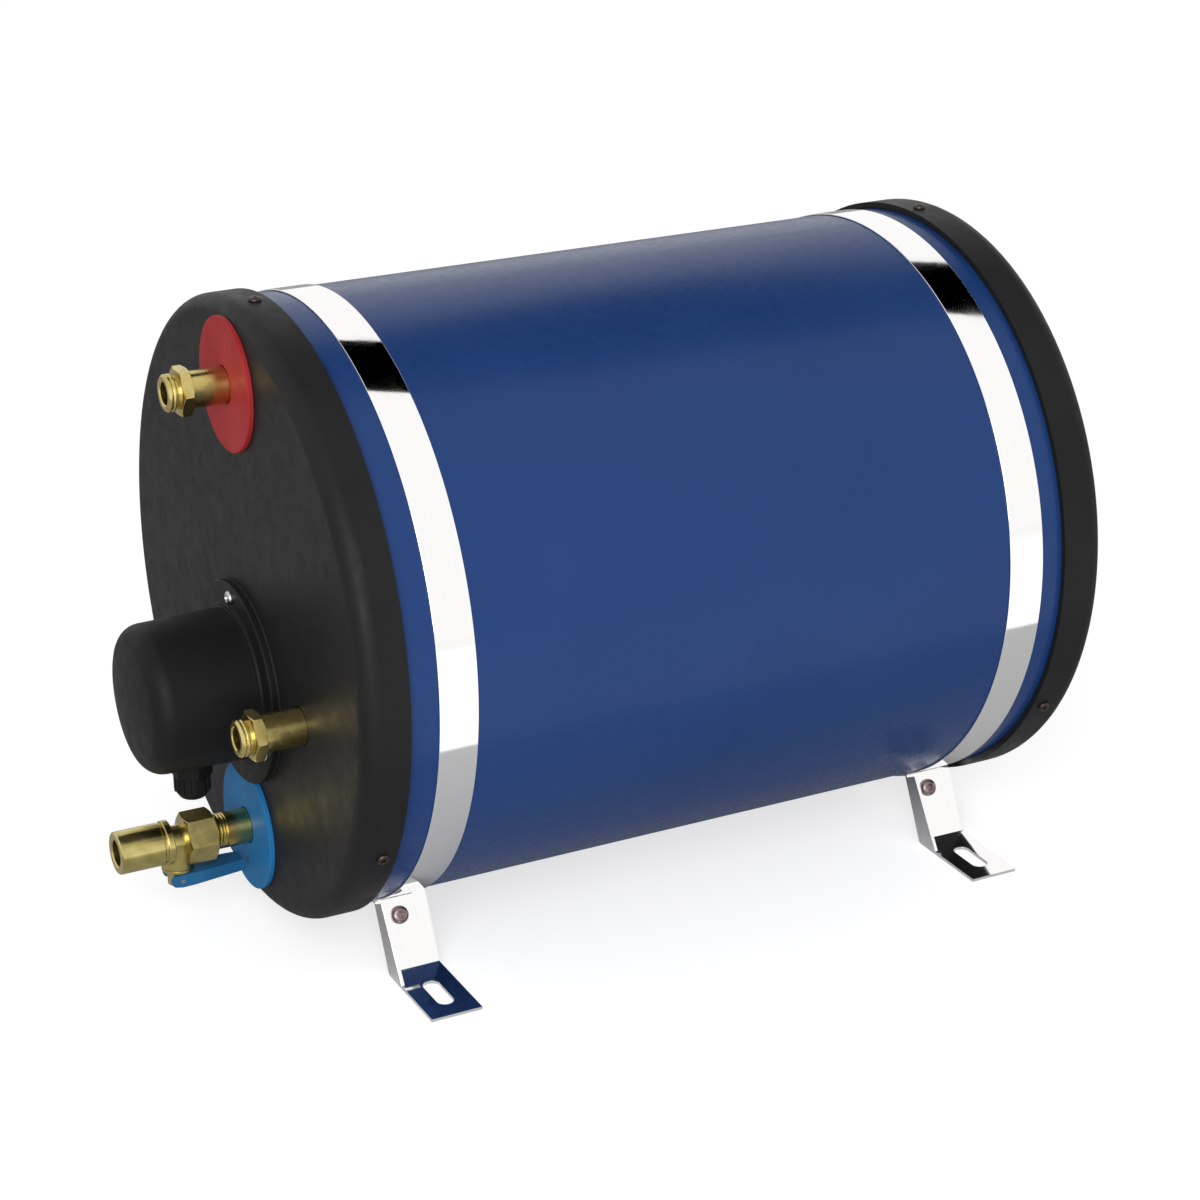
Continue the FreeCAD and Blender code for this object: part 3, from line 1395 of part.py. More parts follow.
def relief_spring():
    room = bonnet_ceiling - disc_end
    margin = s.relief_spring_wire + s.seat_gap / 2
    turns = float(s.relief_spring_turns)
    start = float(disc_end + margin)
    pitch = float(room - 2 * margin) / turns
    stations = helix_stations(float(s.relief_spring_radius), pitch, 0, turns, start, 1)
    tube("relief_spring", stations, s.relief_spring_wire, below_valve(), DOWN)


def relief_lever():
    """Blue test lever: two cheeks with cams that pull the spindle down off its seat."""
    body = new_body("relief_lever", below_valve(), DOWN)
    half = s.lever_width / 2
    cam_offset = s.relief_lift / sine(s.lever_angle)
    cam_radius = s.lever_pin_drop - s.lever_gap
    boss(body, "cam", cam_radius, s.lever_width, (-half, cam_offset, lever_pin_at), ALONG_X)
    arm_top = lever_pin_at - cam_radius
    root = lever_pin_at + s.lever_thickness - cam_radius + s.lever_root_drop
    tip = arm_top + s.lever_thickness
    arm = new_sketch(body, "arm_side", "YZ_Plane", (0, 0, -half))
    outline(arm, [(cam_offset, arm_top), (-s.lever_length, arm_top), (-s.lever_length, tip),
                  (0, root), (cam_offset, lever_pin_at + cam_radius)])
    pad(body, "arm", arm, s.lever_width)
    drill(body, "head_space", s.lever_head_space, s.lever_width - 2 * s.lever_cheek,
          (s.lever_cheek - half, 0, lever_pin_at), ALONG_X)
    drill(body, "pin_hole", s.lever_pin_radius, s.lever_width, (-half, 0, lever_pin_at), ALONG_X)
    tip_half = s.lever_tip_width / 2
    outside = half + s.cut_margin
    beyond = -s.lever_length - s.cut_margin
    for hand, side in HANDS:
        taper = new_sketch(body, hand + "_taper", "XY_Plane", (0, 0, root + s.lever_thickness))
        outline(taper, [(half * side, -s.lever_head_space), (outside * side, -s.lever_head_space),
                        (outside * side, beyond), (tip_half * side, beyond)])
        pocket(body, hand + "_taper_cut", taper, through(s.lever_thickness) + s.lever_root_drop)


def lever_pin():
    half = s.lever_width / 2
    body = new_body("lever_pin", below_valve(), DOWN)
    boss(body, "pin", s.lever_pin_radius, s.lever_width, (-half, 0, lever_pin_at), ALONG_X)


def check_guide():
    radius = s.chamber_radius - s.guide_clearance
    hole = s.poppet_stem_radius + s.shaft_clearance
    body = turned("check_guide", at_valve(), FRONT,
                  [(hole, guide_start), (radius, guide_start), (radius, guide_end), (hole, guide_end)])
    flow = drill(body, "flow_hole", s.guide_hole_radius, s.guide_thickness,
                 (0, s.guide_hole_circle, guide_start))
    polar(body, "flow_holes", [flow], FLOW_HOLES)


def check_poppet():
    stem_end = guide_start - s.poppet_stem_lead
    turned("check_poppet", at_valve(), FRONT,
           [(0, stem_end), (s.poppet_stem_radius, stem_end), (s.poppet_stem_radius, poppet_back),
            (s.poppet_radius, poppet_back), (s.poppet_radius, poppet_face), (0, poppet_face)])


def check_spring():
    room = poppet_back - guide_end
    margin = s.check_spring_wire + s.seat_gap / 2
    turns = float(s.check_spring_turns)
    start = float(guide_end + margin)
    pitch = float(room - 2 * margin) / turns
    stations = helix_stations(float(s.check_spring_radius), pitch, 0, turns, start, 1)
    tube("check_spring", stations, s.check_spring_wire, at_valve(), FRONT)


def safety_valve():
    cold_nipple()
    valve_body()
    valve_bonnet()
    relief_washer()
    relief_spindle()
    relief_spring()
    relief_lever()
    lever_pin()
    check_guide()
    check_poppet()
    check_spring()


def check_and_write():
    """Every object must be sound before any file is written."""
    doc.recompute()
    for thing in doc.Objects:
        if "Invalid" in thing.State or "Error" in thing.State:
            raise RuntimeError("%s is %s" % (thing.Name, thing.State))
    for piece in pieces:
        if piece.Shape.isNull() or not piece.Shape.isValid() or not piece.Shape.Solids:
            raise RuntimeError("%s has no sound solid" % piece.Label)
    os.makedirs("parts", exist_ok=True)
    for piece in pieces:
        piece.Shape.exportStep(os.path.join("parts", piece.Label + ".step"))
        print("%-20s solids %d volume %.1f" % (piece.Label, len(piece.Shape.Solids), piece.Shape.Volume))


outer_jacket()
caps()
mounts()
tank_and_connections()
exchanger_coil()
immersion_heater()
cover_and_gland()
safety_valve()
check_and_write()
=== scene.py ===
"""The looks of a horizontal water heater: a blue jacket between two black end caps,
held by two polished straps on steel feet, with brass connections on its front."""
import json
import math

import bpy
from mathutils import Matrix, Vector

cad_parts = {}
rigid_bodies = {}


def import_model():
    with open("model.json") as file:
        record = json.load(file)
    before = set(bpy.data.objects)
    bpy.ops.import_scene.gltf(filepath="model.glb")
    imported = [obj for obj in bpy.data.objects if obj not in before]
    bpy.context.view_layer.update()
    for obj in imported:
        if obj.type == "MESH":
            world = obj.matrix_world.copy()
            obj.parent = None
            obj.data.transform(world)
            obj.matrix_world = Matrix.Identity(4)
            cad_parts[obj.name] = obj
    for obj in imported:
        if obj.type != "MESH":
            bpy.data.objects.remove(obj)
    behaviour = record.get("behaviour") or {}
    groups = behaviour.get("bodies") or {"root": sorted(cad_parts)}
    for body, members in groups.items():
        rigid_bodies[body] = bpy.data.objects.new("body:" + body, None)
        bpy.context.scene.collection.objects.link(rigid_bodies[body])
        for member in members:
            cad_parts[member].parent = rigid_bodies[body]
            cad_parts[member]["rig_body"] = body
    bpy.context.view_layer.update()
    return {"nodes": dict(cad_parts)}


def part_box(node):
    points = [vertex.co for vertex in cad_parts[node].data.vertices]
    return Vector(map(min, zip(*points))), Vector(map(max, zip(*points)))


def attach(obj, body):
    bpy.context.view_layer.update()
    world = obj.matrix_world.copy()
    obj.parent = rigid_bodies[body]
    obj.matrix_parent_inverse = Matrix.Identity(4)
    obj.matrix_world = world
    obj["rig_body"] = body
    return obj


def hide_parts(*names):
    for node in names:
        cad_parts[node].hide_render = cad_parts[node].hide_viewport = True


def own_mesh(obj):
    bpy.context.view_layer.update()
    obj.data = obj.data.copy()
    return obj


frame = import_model()
MM = 0.001
NODES = frame["nodes"]
SLOTS = {name: node.material_slots[0].material.name for name, node in NODES.items()}


# Finishes


def from_screen(red, green, blue):
    """The linear colour of a screen colour given as 0 to 255."""
    def linear(value):
        share = value / 255
        return share / 12.92 if share <= 0.04045 else ((share + 0.055) / 1.055) ** 2.4
    return (linear(red), linear(green), linear(blue), 1.0)


# Most of a noise pattern's values lie between these two.

NOISE_LOW = 0.3
NOISE_HIGH = 0.7


class Finish:
    """A surface finish whose colour, gloss and relief are drawn by texture nodes."""

    def __init__(self, name, **sockets):
        self.material = bpy.data.materials.new(name)
        self.material.use_nodes = True
        self.nodes = self.material.node_tree.nodes
        self.shader = self.nodes["Principled BSDF"]
        self.place = self.add("ShaderNodeTexCoord").outputs["Object"]
        for socket, value in sockets.items():
            self.shader.inputs[socket.replace("_", " ")].default_value = value

    def add(self, kind, **inputs):
        """A new node with its inputs set, or linked where a socket is given."""
        node = self.nodes.new(kind)
        for socket, value in inputs.items():
            self.feed(value, node.inputs[socket.replace("_", " ")])
        return node

    def feed(self, value, socket):
        """Sets an input to a value, or links it where the value is another node's output."""
        if isinstance(value, bpy.types.NodeSocket):
            self.material.node_tree.links.new(value, socket)
        else:
            socket.default_value = value

    def grain(self, size, stretch=(1, 1, 1), detail=3.0, shift=0.0):
        """Soft noise with grains of this size in metres, drawn out where stretch is under 1.

        A shift moves the pattern, so that two patterns on a piece differ."""
        scale = [share / size for share in stretch]
        mapped = self.add("ShaderNodeMapping", Vector=self.place, Scale=scale)
        mapped.inputs["Location"].default_value = (shift, shift, shift)
        noise = self.add("ShaderNodeTexNoise", Vector=mapped.outputs[0], Scale=1.0, Detail=detail)
        return noise.outputs[0]

    def cells(self, size):
        """Rounded cells of this size in metres, as in foam or hammered paint."""
        mapped = self.add("ShaderNodeMapping", Vector=self.place, Scale=(1 / size,) * 3)
        return self.add("ShaderNodeTexVoronoi", Vector=mapped.outputs[0], Scale=1.0).outputs[0]

    def colour(self, factor, low, high, start=0.35, end=0.65):
        """Colours the surface between two tones as the factor goes from start to end."""
        ramp = self.add("ShaderNodeValToRGB", Fac=factor)
        ramp.color_ramp.elements[0].position = start
        ramp.color_ramp.elements[0].color = low
        ramp.color_ramp.elements[1].position = end
        ramp.color_ramp.elements[1].color = high
        self.feed(ramp.outputs[0], self.shader.inputs["Base Color"])

    def gloss(self, factor, low, high):
        """Makes the roughness run from low to high with the factor."""
        spread = self.add("ShaderNodeMapRange", Value=factor)
        spread.inputs["From Min"].default_value = NOISE_LOW
        spread.inputs["From Max"].default_value = NOISE_HIGH
        spread.inputs["To Min"].default_value = low
        spread.inputs["To Max"].default_value = high
        self.feed(spread.outputs[0], self.shader.inputs["Roughness"])

    def relief(self, height, depth, below=None):
        """Raises the surface by a height pattern of this depth in metres, over the one below."""
        bump = self.add("ShaderNodeBump", Height=height, Distance=depth)
        if below is not None:
            self.feed(below, bump.inputs["Normal"])
        self.feed(bump.outputs[0], self.shader.inputs["Normal"])
        return bump.outputs[0]


def blue_enamel():
    """Satin powder coat with a fine orange peel."""
    look = Finish("satin_blue_enamel", Specular_IOR_Level=0.22)
    drift = look.grain(90 * MM, detail=2.0)
    look.colour(drift, from_screen(26, 59, 115), from_screen(29, 62, 118))
    look.gloss(look.grain(6 * MM, shift=3.0), 0.24, 0.31)
    peel = look.relief(look.grain(1.6 * MM, detail=1.0), 0.03 * MM)
    look.relief(look.grain(0.35 * MM), 0.008 * MM, peel)
    return look.material


def black_moulding(name, level, rough, specular):
    """Moulded black plastic of this grey level with a fine spark grain."""
    look = Finish(name, Specular_IOR_Level=specular)
    low = from_screen(level - 3, level - 3, level - 3)
    high = from_screen(level + 1, level + 1, level + 2)
    look.colour(look.grain(45 * MM, detail=4.0), low, high)
    look.gloss(look.grain(9 * MM, shift=5.0), rough - 0.05, rough + 0.06)
    coarse = look.relief(look.grain(0.9 * MM, detail=2.0), 0.006 * MM)
    look.relief(look.cells(0.4 * MM), 0.004 * MM, coarse)
    return look.material


def polished_steel():
    """Bright rolled strip with faint lines along its length and a few fine scuffs."""
    look = Finish("polished_steel", Metallic=1.0)
    lines = look.grain(0.5 * MM, stretch=(0.04, 1.0, 0.04), detail=2.0)
    look.colour(lines, from_screen(247, 246, 245), from_screen(254, 253, 252), 0.2, 0.8)
    look.gloss(look.grain(25 * MM, stretch=(0.4, 1.0, 0.4), detail=4.0), 0.03, 0.08)
    rolled = look.relief(lines, 0.0012 * MM)
    look.relief(look.grain(14 * MM, detail=1.0, shift=2.0), 0.01 * MM, rolled)
    return look.material


# Stretches marks into rings round the heater's length.

ROUND_THE_LENGTH = (0.05, 1.0, 0.05)


def metal(name, dark, light, rough, size=4 * MM, stretch=(1, 1, 1)):
    """A plain metal with tarnish in patches of this size and fine tool marks."""
    look = Finish(name, Metallic=1.0)
    look.colour(look.grain(size), from_screen(*dark), from_screen(*light), NOISE_LOW, NOISE_HIGH)
    look.gloss(look.grain(size * 0.6, detail=2.0, shift=4.0), rough, rough + 0.07)
    look.relief(look.grain(0.45 * MM, stretch=stretch, shift=8.0), 0.004 * MM)
    return look.material


def turned_brass(name, dark, light):
    """Machined brass with turning lines round the heater's length and a little tarnish."""
    return metal(name, dark, light, 0.2, 7 * MM, ROUND_THE_LENGTH)


def smooth_plastic(name, low, high, rough, size=30 * MM, specular=0.25):
    """A plain coloured plastic with a slight mould texture."""
    look = Finish(name, Specular_IOR_Level=specular)
    look.colour(look.grain(size), from_screen(*low), from_screen(*high))
    look.gloss(look.grain(size * 0.3, shift=6.0), rough, rough + 0.08)
    look.relief(look.grain(0.7 * MM, detail=2.0), 0.02 * MM)
    return look.material


def foam_finish():
    """Cut polyurethane foam with open cells."""
    look = Finish("poured_foam", Specular_IOR_Level=0.2)
    pores = look.cells(2.2 * MM)
    look.colour(pores, from_screen(196, 164, 96), from_screen(232, 206, 142), 0.1, 0.7)
    look.gloss(look.grain(8 * MM), 0.8, 0.92)
    look.relief(pores, 0.5 * MM)
    return look.material


FINISHES = {
    "blue_jacket": blue_enamel(),
    "black_cap": black_moulding("black_moulding", 30, 0.46, 0.13),
    "polished_steel": polished_steel(),
    "tank_steel": metal("brushed_tank_steel", (150, 150, 150), (190, 190, 188), 0.3, 20 * MM,
                        ROUND_THE_LENGTH),
    "fastener_steel": metal("fastener_steel", (165, 165, 163), (205, 204, 200), 0.2),
    "foam": foam_finish(),
    "yellow_brass": turned_brass("turned_brass", (186, 166, 96), (212, 194, 128)),
    "plated_valve": turned_brass("valve_brass", (182, 166, 100), (208, 192, 128)),
    "red_disc": smooth_plastic("red_marker", (158, 40, 43), (170, 48, 51), 0.45, specular=0.12),
    "blue_disc": smooth_plastic("blue_marker", (32, 110, 166), (42, 120, 180), 0.45, specular=0.12),
    "black_cover": black_moulding("black_cover_moulding", 25, 0.48, 0.12),
    "black_rubber": smooth_plastic("black_rubber", (26, 26, 26), (36, 36, 36), 0.62, 8 * MM),
    "coil_copper": metal("drawn_copper", (150, 84, 56), (206, 130, 96), 0.25, 12 * MM),
    "blue_lever": smooth_plastic("blue_lever", (28, 92, 138), (40, 108, 156), 0.4),
    "white_plastic": smooth_plastic("white_plastic", (214, 212, 204), (228, 226, 220), 0.36),
    "red_button": smooth_plastic("red_button", (176, 30, 26), (190, 40, 34), 0.3, 3 * MM),
    "spring_steel": metal("spring_wire", (140, 140, 142), (190, 190, 190), 0.22, 2 * MM),
}

CAP_SCREW_FINISH = metal("blackened_screw", (52, 46, 46), (84, 74, 72), 0.34, 2 * MM)
STRAP_BOLT_FINISH = metal("dull_bolt", (118, 104, 104), (158, 142, 142), 0.3, 2 * MM)


def dress_nodes():
    """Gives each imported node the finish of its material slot."""
    for node in NODES.values():
        for slot in node.material_slots:
            if slot.material.name in FINISHES:
                slot.material = FINISHES[slot.material.name]


# The studio

CAMERA_PLACE = Vector((1.42765, -0.74898, 0.82117))
CAMERA_TARGET = Vector((0.03142, -0.02583, 0.17490))
LENS = 86.68
SENSOR = 36.0


def build_camera():
    data = bpy.data.cameras.new("studio_camera")
    data.lens = LENS
    data.sensor_width = SENSOR
    camera = bpy.data.objects.new("studio_camera", data)
    bpy.context.scene.collection.objects.link(camera)
    camera.location = CAMERA_PLACE
    camera.rotation_euler = (CAMERA_TARGET - CAMERA_PLACE).to_track_quat("-Z", "Y").to_euler()
    bpy.context.scene.camera = camera


KEY_PLACE = Vector((2.2, -1.4, 1.2))
KEY_TARGET = Vector((0, 0, 0.2))
KEY_SIZE = 1.8
KEY_POWER = 48


def build_key_light():
    """A square soft box beside the camera, which faces the heater."""
    data = bpy.data.lights.new("key_light", "AREA")
    data.shape = "SQUARE"
    data.size = KEY_SIZE
    data.energy = KEY_POWER
    lamp = bpy.data.objects.new("key_light", data)
    bpy.context.scene.collection.objects.link(lamp)
    lamp.location = KEY_PLACE
    lamp.rotation_euler = (KEY_TARGET - KEY_PLACE).to_track_quat("-Z", "Y").to_euler()


def maths(nodes, links, operation, first, second):
    """A maths node over two values, each a number or another node's output."""
    node = nodes.new("ShaderNodeMath")
    node.operation = operation
    for value, socket in zip((first, second), node.inputs):
        if isinstance(value, bpy.types.NodeSocket):
            links.new(value, socket)
        else:
            socket.default_value = value
    return node.outputs[0]


AMBIENT = 0.5


def build_world():
    """A white room: full white to the eye and in reflections, softer as a light."""
    world = bpy.data.worlds.new("white_room")
    bpy.context.scene.world = world
    world.use_nodes = True
    nodes = world.node_tree.nodes
    links = world.node_tree.links
    rays = nodes.new("ShaderNodeLightPath").outputs
    seen = maths(nodes, links, "MAXIMUM", rays["Is Camera Ray"], rays["Is Glossy Ray"])
    seen = maths(nodes, links, "MAXIMUM", seen, rays["Is Transmission Ray"])
    level = nodes.new("ShaderNodeMapRange")
    links.new(seen, level.inputs["Value"])
    level.inputs["To Min"].default_value = AMBIENT
    level.inputs["To Max"].default_value = 1.0
    back = nodes["Background"]
    back.inputs["Color"].default_value = (1, 1, 1, 1)
    links.new(level.outputs[0], back.inputs["Strength"])


# The floor's lift makes it white to the eye. Reflections see that white past the line WHITE_FROM.

FLOOR_SIZE = 30.0
FLOOR_TONE = 0.68
FLOOR_LIFT = 0.64
WHITE_FROM = 0.354
BLUR = 0.01


def build_floor():
    """A pale floor: white to the eye apart from the shadow, and greyer in near reflections."""
    deselect()
    bpy.ops.mesh.primitive_plane_add(size=FLOOR_SIZE, location=(0, 0, 0))
    floor = bpy.context.object
    floor.name = "floor"
    material = bpy.data.materials.new("pale_floor")
    material.use_nodes = True
    nodes = material.node_tree.nodes
    links = material.node_tree.links
    nodes.remove(nodes["Principled BSDF"])
    diffuse = nodes.new("ShaderNodeBsdfDiffuse")
    diffuse.inputs["Color"].default_value = (FLOOR_TONE, FLOOR_TONE, FLOOR_TONE, 1)
    glow = nodes.new("ShaderNodeEmission")
    rays = nodes.new("ShaderNodeLightPath").outputs
    spot = nodes.new("ShaderNodeSeparateXYZ")
    links.new(nodes.new("ShaderNodeTexCoord").outputs["Object"], spot.inputs[0])
    beyond = nodes.new("ShaderNodeMapRange")
    links.new(spot.outputs["X"], beyond.inputs["Value"])
    beyond.inputs["From Min"].default_value = WHITE_FROM
    beyond.inputs["From Max"].default_value = WHITE_FROM + BLUR
    mirrored = maths(nodes, links, "MULTIPLY", rays["Is Glossy Ray"], beyond.outputs[0])
    seen = maths(nodes, links, "MAXIMUM", rays["Is Camera Ray"], mirrored)
    seen = maths(nodes, links, "MAXIMUM", seen, rays["Is Transmission Ray"])
    links.new(maths(nodes, links, "MULTIPLY", seen, FLOOR_LIFT), glow.inputs["Strength"])
    both = nodes.new("ShaderNodeAddShader")
    links.new(diffuse.outputs[0], both.inputs[0])
    links.new(glow.outputs[0], both.inputs[1])
    links.new(both.outputs[0], nodes["Material Output"].inputs["Surface"])
    floor.data.materials.append(material)


# The card's corners in metres, as seen from above. Its reflection darkens a patch on each strap.

CARD_HEIGHT = 1.86
CARD_OUTLINE = ((-1.12, -0.30), (-0.23, -0.30), (-0.18, 0.36), (0.05, 0.48), (0.04, 1.12), (0.22, 1.23),
                (0.33, 2.00), (-0.67, 2.00), (-0.71, 1.30), (-0.93, 1.27), (-1.35, 1.15), (-1.35, 0.72),
                (-0.84, 0.54), (-1.08, 0.50))


def build_dark_card():
    """A black board overhead, which only reflections show."""
    deselect()
    bpy.ops.mesh.primitive_circle_add(vertices=len(CARD_OUTLINE), fill_type="NGON",
                                      location=(0, 0, CARD_HEIGHT))
    card = bpy.context.object
    card.name = "dark_card"
    settle(card)
    for corner, spot in zip(card.data.vertices, CARD_OUTLINE):
        corner.co.xy = spot
    material = bpy.data.materials.new("black_board")
    material.use_nodes = True
    shader = material.node_tree.nodes["Principled BSDF"]
    shader.inputs["Base Color"].default_value = (0, 0, 0, 1)
    shader.inputs["Specular IOR Level"].default_value = 0
    card.data.materials.append(material)
    card.visible_camera = False
    card.visible_diffuse = False
    card.visible_shadow = False


def build_studio():
    build_camera()
    build_world()
    build_floor()
    build_dark_card()
    build_key_light()
    bpy.context.scene.view_settings.view_transform = "Standard"


# Modelling helpers. Sizes of pieces are in millimetres, and places are in metres.
# OVERRUN is how far a cutting tool runs past the face that it cuts.

UP = Vector((0, 0, 1))
ACROSS = Vector((1, 0, 0))
OUT = Vector((0, -1, 0))
TURN_STEPS = 96
SMALL_TURN_STEPS = 48
SHARP = math.radians(32)
FLAT = math.radians(0.5)
WELD = 0.002 * MM
EDGE_SEGMENTS = 2
OVERRUN = 1


def deselect():
    if bpy.context.object and bpy.context.object.mode != "OBJECT":
        bpy.ops.object.mode_set(mode="OBJECT")
    bpy.ops.object.select_all(action="DESELECT")


def take(piece):
    """Selects just this piece and makes it the one that operators act on."""
    deselect()
    piece.select_set(True)
    bpy.context.view_layer.objects.active = piece


def settle(piece):
    """Puts the piece's place and turn into its mesh."""
    take(piece)
    bpy.ops.object.transform_apply(location=True, rotation=True, scale=True)


def edit(piece, kind="FACE", wanted=None):
    """Opens a piece in edit mode with the faces or corners that pass the test selected."""
    take(piece)
    bpy.ops.object.mode_set(mode="EDIT")
    bpy.ops.mesh.select_mode(type=kind)
    bpy.ops.mesh.select_all(action="DESELECT")
    bpy.ops.object.mode_set(mode="OBJECT")
    for part in piece.data.polygons if kind == "FACE" else piece.data.vertices:
        part.select = bool(wanted and wanted(part))
    bpy.ops.object.mode_set(mode="EDIT")


def close_edit():
    """Closes seams, turns every face outwards and leaves edit mode."""
    bpy.ops.mesh.select_all(action="SELECT")
    bpy.ops.mesh.remove_doubles(threshold=WELD)
    bpy.ops.mesh.normals_make_consistent(inside=False)
    bpy.ops.object.mode_set(mode="OBJECT")


def rounded(corners, closed=False, parts=4):
    """The outline through (height, radius) corners; a third number rounds that corner."""
    points = []
    count = len(corners)
    for index, corner in enumerate(corners):
        here = Vector(corner[:2])
        if len(corner) == 2:
            points.append(here)
            continue
        before = (Vector(corners[index - 1][:2]) - here).normalized()
        after = (Vector(corners[(index + 1) % count][:2]) - here).normalized()
        half = before.angle(after) / 2
        middle = here + (before + after).normalized() * corner[2] / math.sin(half)
        first = here + before * corner[2] / math.tan(half) - middle
        last = here + after * corner[2] / math.tan(half) - middle
        sweep = math.pi - 2 * half
        for part in range(parts + 1):
            share = part / parts
            arm = first * math.sin((1 - share) * sweep) + last * math.sin(share * sweep)
            points.append(middle + arm / math.sin(sweep))
    if closed:
        points.append(points[0])
    return points


def turned(name, outline, steps=TURN_STEPS):
    """A piece turned about the upright axis from an outline of (height, radius) points."""
    points = [Vector((radius, 0, height)) * MM for height, radius in outline]
    deselect()
    bpy.ops.mesh.primitive_plane_add(size=MM, location=points[0])
    piece = bpy.context.object
    piece.name = name
    settle(piece)
    bpy.ops.object.mode_set(mode="EDIT")
    bpy.ops.mesh.select_mode(type="VERT")
    bpy.ops.mesh.merge(type="CENTER")
    for here, there in zip(points, points[1:]):
        bpy.ops.mesh.extrude_region_move(TRANSFORM_OT_translate={"value": there - here})
    bpy.ops.mesh.select_all(action="SELECT")
    bpy.ops.mesh.spin(steps=steps, angle=math.tau, center=(0, 0, 0), axis=UP)
    close_edit()
    return piece


def apply_modifier(piece, modifier):
    take(piece)
    bpy.ops.object.modifier_apply(modifier=modifier.name)


def combine(piece, tool, operation):
    """Joins, cuts or trims a piece with a second one, which is used up."""
    modifier = piece.modifiers.new("combine", "BOOLEAN")
    modifier.operation = operation
    modifier.solver = "EXACT"
    modifier.object = tool
    apply_modifier(piece, modifier)
    bpy.data.objects.remove(tool)
    return piece


def soften(piece, width):
    """Rounds the sharp edges of a piece."""
    modifier = piece.modifiers.new("soft_edges", "BEVEL")
    modifier.limit_method = "ANGLE"
    modifier.angle_limit = SHARP
    modifier.width = width * MM
    modifier.segments = EDGE_SEGMENTS
    apply_modifier(piece, modifier)
    return piece


HEX_CHAMFER = math.radians(30)
HEX_FACE_SHARE = 0.97
HEX_CLEAR_SHARE = 1.02


def hexagon(flats, low, high):
    """An upright six-sided collar with its corners turned down at both ends."""
    corner = flats / math.sqrt(3)
    edge = flats / 2 * HEX_FACE_SHARE
    brim = corner * HEX_CLEAR_SHARE
    drop = (brim - edge) * math.tan(HEX_CHAMFER)
    deselect()
    bpy.ops.mesh.primitive_cylinder_add(vertices=6, radius=corner * MM, depth=(high - low) * MM,
                                        location=(0, 0, (low + high) / 2 * MM),
                                        rotation=(0, 0, math.pi / 2))
    piece = bpy.context.object
    settle(piece)
    cone = [(low, 0), (low, edge), (low + drop, brim), (high - drop, brim), (high, edge), (high, 0)]
    return combine(piece, turned("chamfer", cone), "INTERSECT")


def place(model, name, centre, along, across=None):
    """A copy of an upright model, set at a place and pointed along a line."""
    along = Vector(along).normalized()
    across = Vector(across) if across else along.orthogonal().normalized()
    twin = model.copy()
    twin.data = model.data.copy()
    twin.name = name
    bpy.context.scene.collection.objects.link(twin)
    turn = Matrix((across, along.cross(across), along)).transposed().to_4x4()
    twin.matrix_world = Matrix.Translation(centre) @ turn
    settle(twin)
    return twin


def discard(model):
    bpy.data.objects.remove(model)


def finish(piece, node, look=None):
    """Shades a finished piece and lets it stand for its node, with the node's finish and body."""
    take(piece)
    bpy.ops.object.shade_smooth_by_angle(angle=SHARP)
    modifier = piece.modifiers.new("flat_faces", "WEIGHTED_NORMAL")
    modifier.keep_sharp = True
    apply_modifier(piece, modifier)
    piece.data.materials.clear()
    piece.data.materials.append(look or FINISHES[SLOTS[node]])
    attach(piece, NODES[node]["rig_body"])
    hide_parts(node)


# Places on the heater

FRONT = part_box("front_end_cap")[0].y


def middle_of(node):
    """The centre of a node's box."""
    low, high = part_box(node)
    return (low + high) / 2


def on_front(node):
    """The point of the front cap's face that a piece stands on."""
    centre = middle_of(node)
    return Vector((centre.x, FRONT, centre.z))


AXIS = Vector((0, 0, middle_of("front_end_cap").z))
CAP_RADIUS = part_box("front_end_cap")[1].x / MM
COVER_CENTRE = Vector((0, FRONT, middle_of("cover_gasket").z))


# Brass connections, whose heights run outwards from the front cap's face

THREAD_PITCH = 1.8
THREAD_DEPTH = 0.55
CREST_FROM = 0.36
CREST_TO = 0.64
NIPPLE_BACK = -20.2
NIPPLE_END = 37.5
NIPPLE_RADIUS = 10.4
NIPPLE_BORE = 6.5
MOUTH_RADIUS = 7.3
CHAMFER = 0.7
NIPPLE_FLATS = 25
COLLAR_FROM = 23.5
COLLAR_TO = 30.5
SHANK_END = 30
NECK_RADIUS = 9.3
TIP_FROM = 32.4
TIP_TO = 36.9
TIP_RADIUS = 10.48
TIP_EDGE = 9.2
COLD_SHANK_END = 17
COLD_THREAD_TO = 35.5
COLD_END = 36.7


def thread(start, end, radius):
    """The outline of a screw thread, drawn as rings: crests and roots in turn."""
    turns = round((end - start) / THREAD_PITCH)
    pitch = (end - start) / turns
    root = radius - THREAD_DEPTH
    ridges = []
    for turn in range(turns):
        near = start + turn * pitch
        ridges += [(near, root), (near + CREST_FROM * pitch, radius), (near + CREST_TO * pitch, radius)]
    return ridges + [(end, root)]


def shank(inner, end):
    """The outline of a connection's plain part, from this radius on its back face to its end."""
    return [(NIPPLE_BACK, inner), (NIPPLE_BACK, NIPPLE_RADIUS - CHAMFER),
            (NIPPLE_BACK + CHAMFER, NIPPLE_RADIUS), (end, NIPPLE_RADIUS)]


